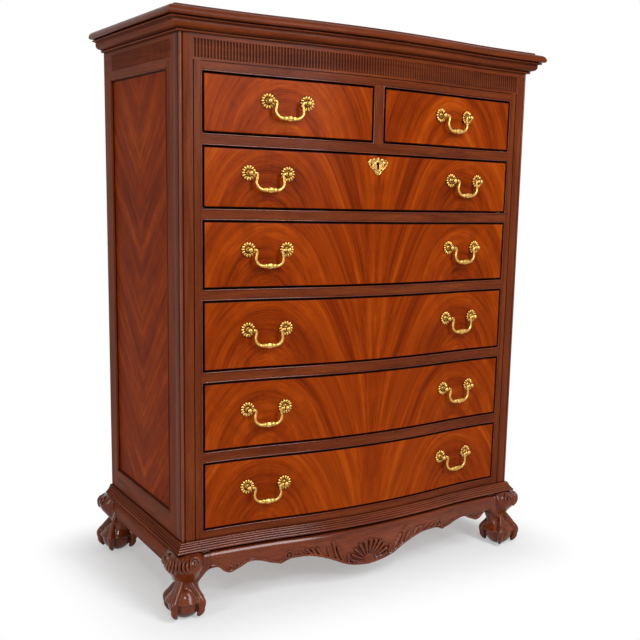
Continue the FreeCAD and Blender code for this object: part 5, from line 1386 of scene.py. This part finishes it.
def legs():
    """The one skin placed at the four corners."""
    points, faces = leg_skin()
    rear_back = span("rear_left_leg")[1][1] - LEG_OUT
    for row, corner, flip in (("front", FRONT, 1), ("rear", rear_back, -1)):
        for s, side in SIDES:
            placed = np.stack([s * (HALF - points[:, 0]), corner + flip * points[:, 1],
                               points[:, 2]], 1)
            piece(f"leg_{row}_{side}", Solid().add(placed, faces), [CARVED["z"]],
                  f"{row}_{side}_leg", 60)


# ---- CAD solids that stay
def dress_cad():
    """Materials of the plain boards and the lock, whose CAD solids stay."""
    along = {"drawer_runners": "y", "dust_panels": "x", "back_panel": "x", "glue_blocks": "z",
             "rear_apron": "x"}
    along.update({f"{drawer}_box": "y" for drawer in OPENINGS})
    nodes = {node: INSIDE[axis] for node, axis in along.items()}
    nodes.update({"lock_case": STEEL, "lock_bolt": STEEL})
    for node, material in nodes.items():
        mesh = frame["nodes"][node].data
        mesh.materials.clear()
        mesh.materials.append(material)


# ---- studio
FLOOR_GLOW = 0.35
SHADOW_CORE = (0.45, 0.25, 0)
SHADOW_REACH = 0.24
FLOOR_HALF = 9


def seen_rays(tree):
    """1 for the rays that show the background: camera, glossy and transmission rays."""
    path = add_node(tree, "ShaderNodeLightPath")
    return scalar(tree, "MAXIMUM", path.outputs["Is Camera Ray"],
                  scalar(tree, "MAXIMUM", path.outputs["Is Glossy Ray"],
                         path.outputs["Is Transmission Ray"]))


def floor_material():
    """Pale floor with a soft shadow near the chest, white further out."""
    material = bpy.data.materials.new("studio_floor")
    tree = empty_tree(material)
    plain = output(tree, "ShaderNodeBsdfDiffuse", {"Color": (0.94, 0.94, 0.94, 1)})
    glow = output(tree, "ShaderNodeEmission", {"Color": (1, 1, 1, 1), "Strength": 1.0})
    at = output(tree, "ShaderNodeNewGeometry", key="Position")
    beyond = vector_math(tree, "SUBTRACT", vector_math(tree, "ABSOLUTE", at), SHADOW_CORE)
    outside = vector_math(tree, "MAXIMUM", beyond, (0, 0, 0))
    reach = output(tree, "ShaderNodeVectorMath", {0: outside}, "Value", operation="LENGTH")
    near = ranged(tree, reach, 0.0, SHADOW_REACH, FLOOR_GLOW, 1.0, interpolation_type="SMOOTHSTEP")
    share = scalar(tree, "MULTIPLY", seen_rays(tree), near)
    both = output(tree, "ShaderNodeMixShader", {0: share, 1: plain, 2: glow})
    add_node(tree, "ShaderNodeOutputMaterial", {"Surface": both})
    return material


def lamp(name, place, target, size, power, colour=(1, 1, 1)):
    """Rectangular soft lamp aimed at a point, in metres."""
    data = bpy.data.lights.new(name, "AREA")
    data.shape = "RECTANGLE"
    data.size, data.size_y = size
    data.energy = power
    data.color = colour
    obj = in_scene(name, data)
    obj.location = place
    aim = Vector(target) - Vector(place)
    obj.rotation_euler = aim.to_track_quat("-Z", "Y").to_euler()


def studio():
    """White surroundings, a floor and three soft lamps."""
    scene = bpy.context.scene
    scene.world = bpy.data.worlds.new("studio")
    tree = empty_tree(scene.world)
    strength = ranged(tree, seen_rays(tree), 0.0, 1.0, 0.3, 1.0)
    back = output(tree, "ShaderNodeBackground", {"Color": (1, 1, 1, 1), "Strength": strength})
    add_node(tree, "ShaderNodeOutputWorld", {"Surface": back})
    mesh = bpy.data.meshes.new("studio_floor")
    far = FLOOR_HALF
    mesh.from_pydata([(-far, -far, 0), (far, -far, 0), (far, far, 0), (-far, far, 0)], [],
                     [(0, 1, 2, 3)])
    mesh.materials.append(floor_material())
    ground = in_scene("studio_floor", mesh)
    lamp("key", (-1.5, -3.3, 2.7), (0, 0, 0.7), (0.4, 0.4), 24)
    lamp("softbox", (0.4, -2.4, 1.95), (-0.1, -0.25, 0.14), (0.6, 2.1), 58, (0.93, 0.96, 1))
    lamp("strip", (-2.9, -1.3, 1.15), (-0.4, 0, 0.9), (0.4, 2.1), 27, (0.96, 0.98, 1))
    scene.view_settings.view_transform = "Standard"


PICTURE = 640
SENSOR = 36.0


def camera():
    """Camera at the photograph's viewing angle, its focal length and centre in pixels."""
    yaw, pitch, roll = 0.6073152556, 0.1699251136, 0.0332122578
    focal, centre_x, centre_y = 953.4668, 404.005, 350.901
    place = Vector((-1.2274, -2.1603, 0.9723))
    ahead = Vector((math.sin(yaw) * math.cos(pitch), math.cos(yaw) * math.cos(pitch),
                    -math.sin(pitch)))
    right = Vector((math.cos(yaw), -math.sin(yaw), 0))
    up = right.cross(ahead)
    across = right * math.cos(roll) + up * math.sin(roll)
    above = up * math.cos(roll) - right * math.sin(roll)
    data = bpy.data.cameras.new("camera")
    data.sensor_width = SENSOR
    data.lens = focal * SENSOR / PICTURE
    data.shift_x = (PICTURE / 2 - centre_x) / PICTURE
    data.shift_y = (centre_y - PICTURE / 2) / PICTURE
    data.clip_end = 60
    obj = in_scene("camera", data)
    turn = Matrix((across, above, -ahead)).transposed().to_4x4()
    obj.matrix_world = Matrix.Translation(place) @ turn
    bpy.context.scene.camera = obj


# ---- the chest
camera()
studio()
dress_cad()
face_frame()
for drawer_name, opening_box in OPENINGS.items():
    bead_ring(f"{drawer_name}_opening_bead", opening_box)
corner_posts()
frieze()
sides()
mouldings()
top_board()
for number, drawer_name in enumerate(OPENINGS):
    drawer_front(drawer_name, number)
pull_posts()
bails()
escutcheon()
front_apron()
side_aprons()
legs()

bpy.context.view_layer.update()
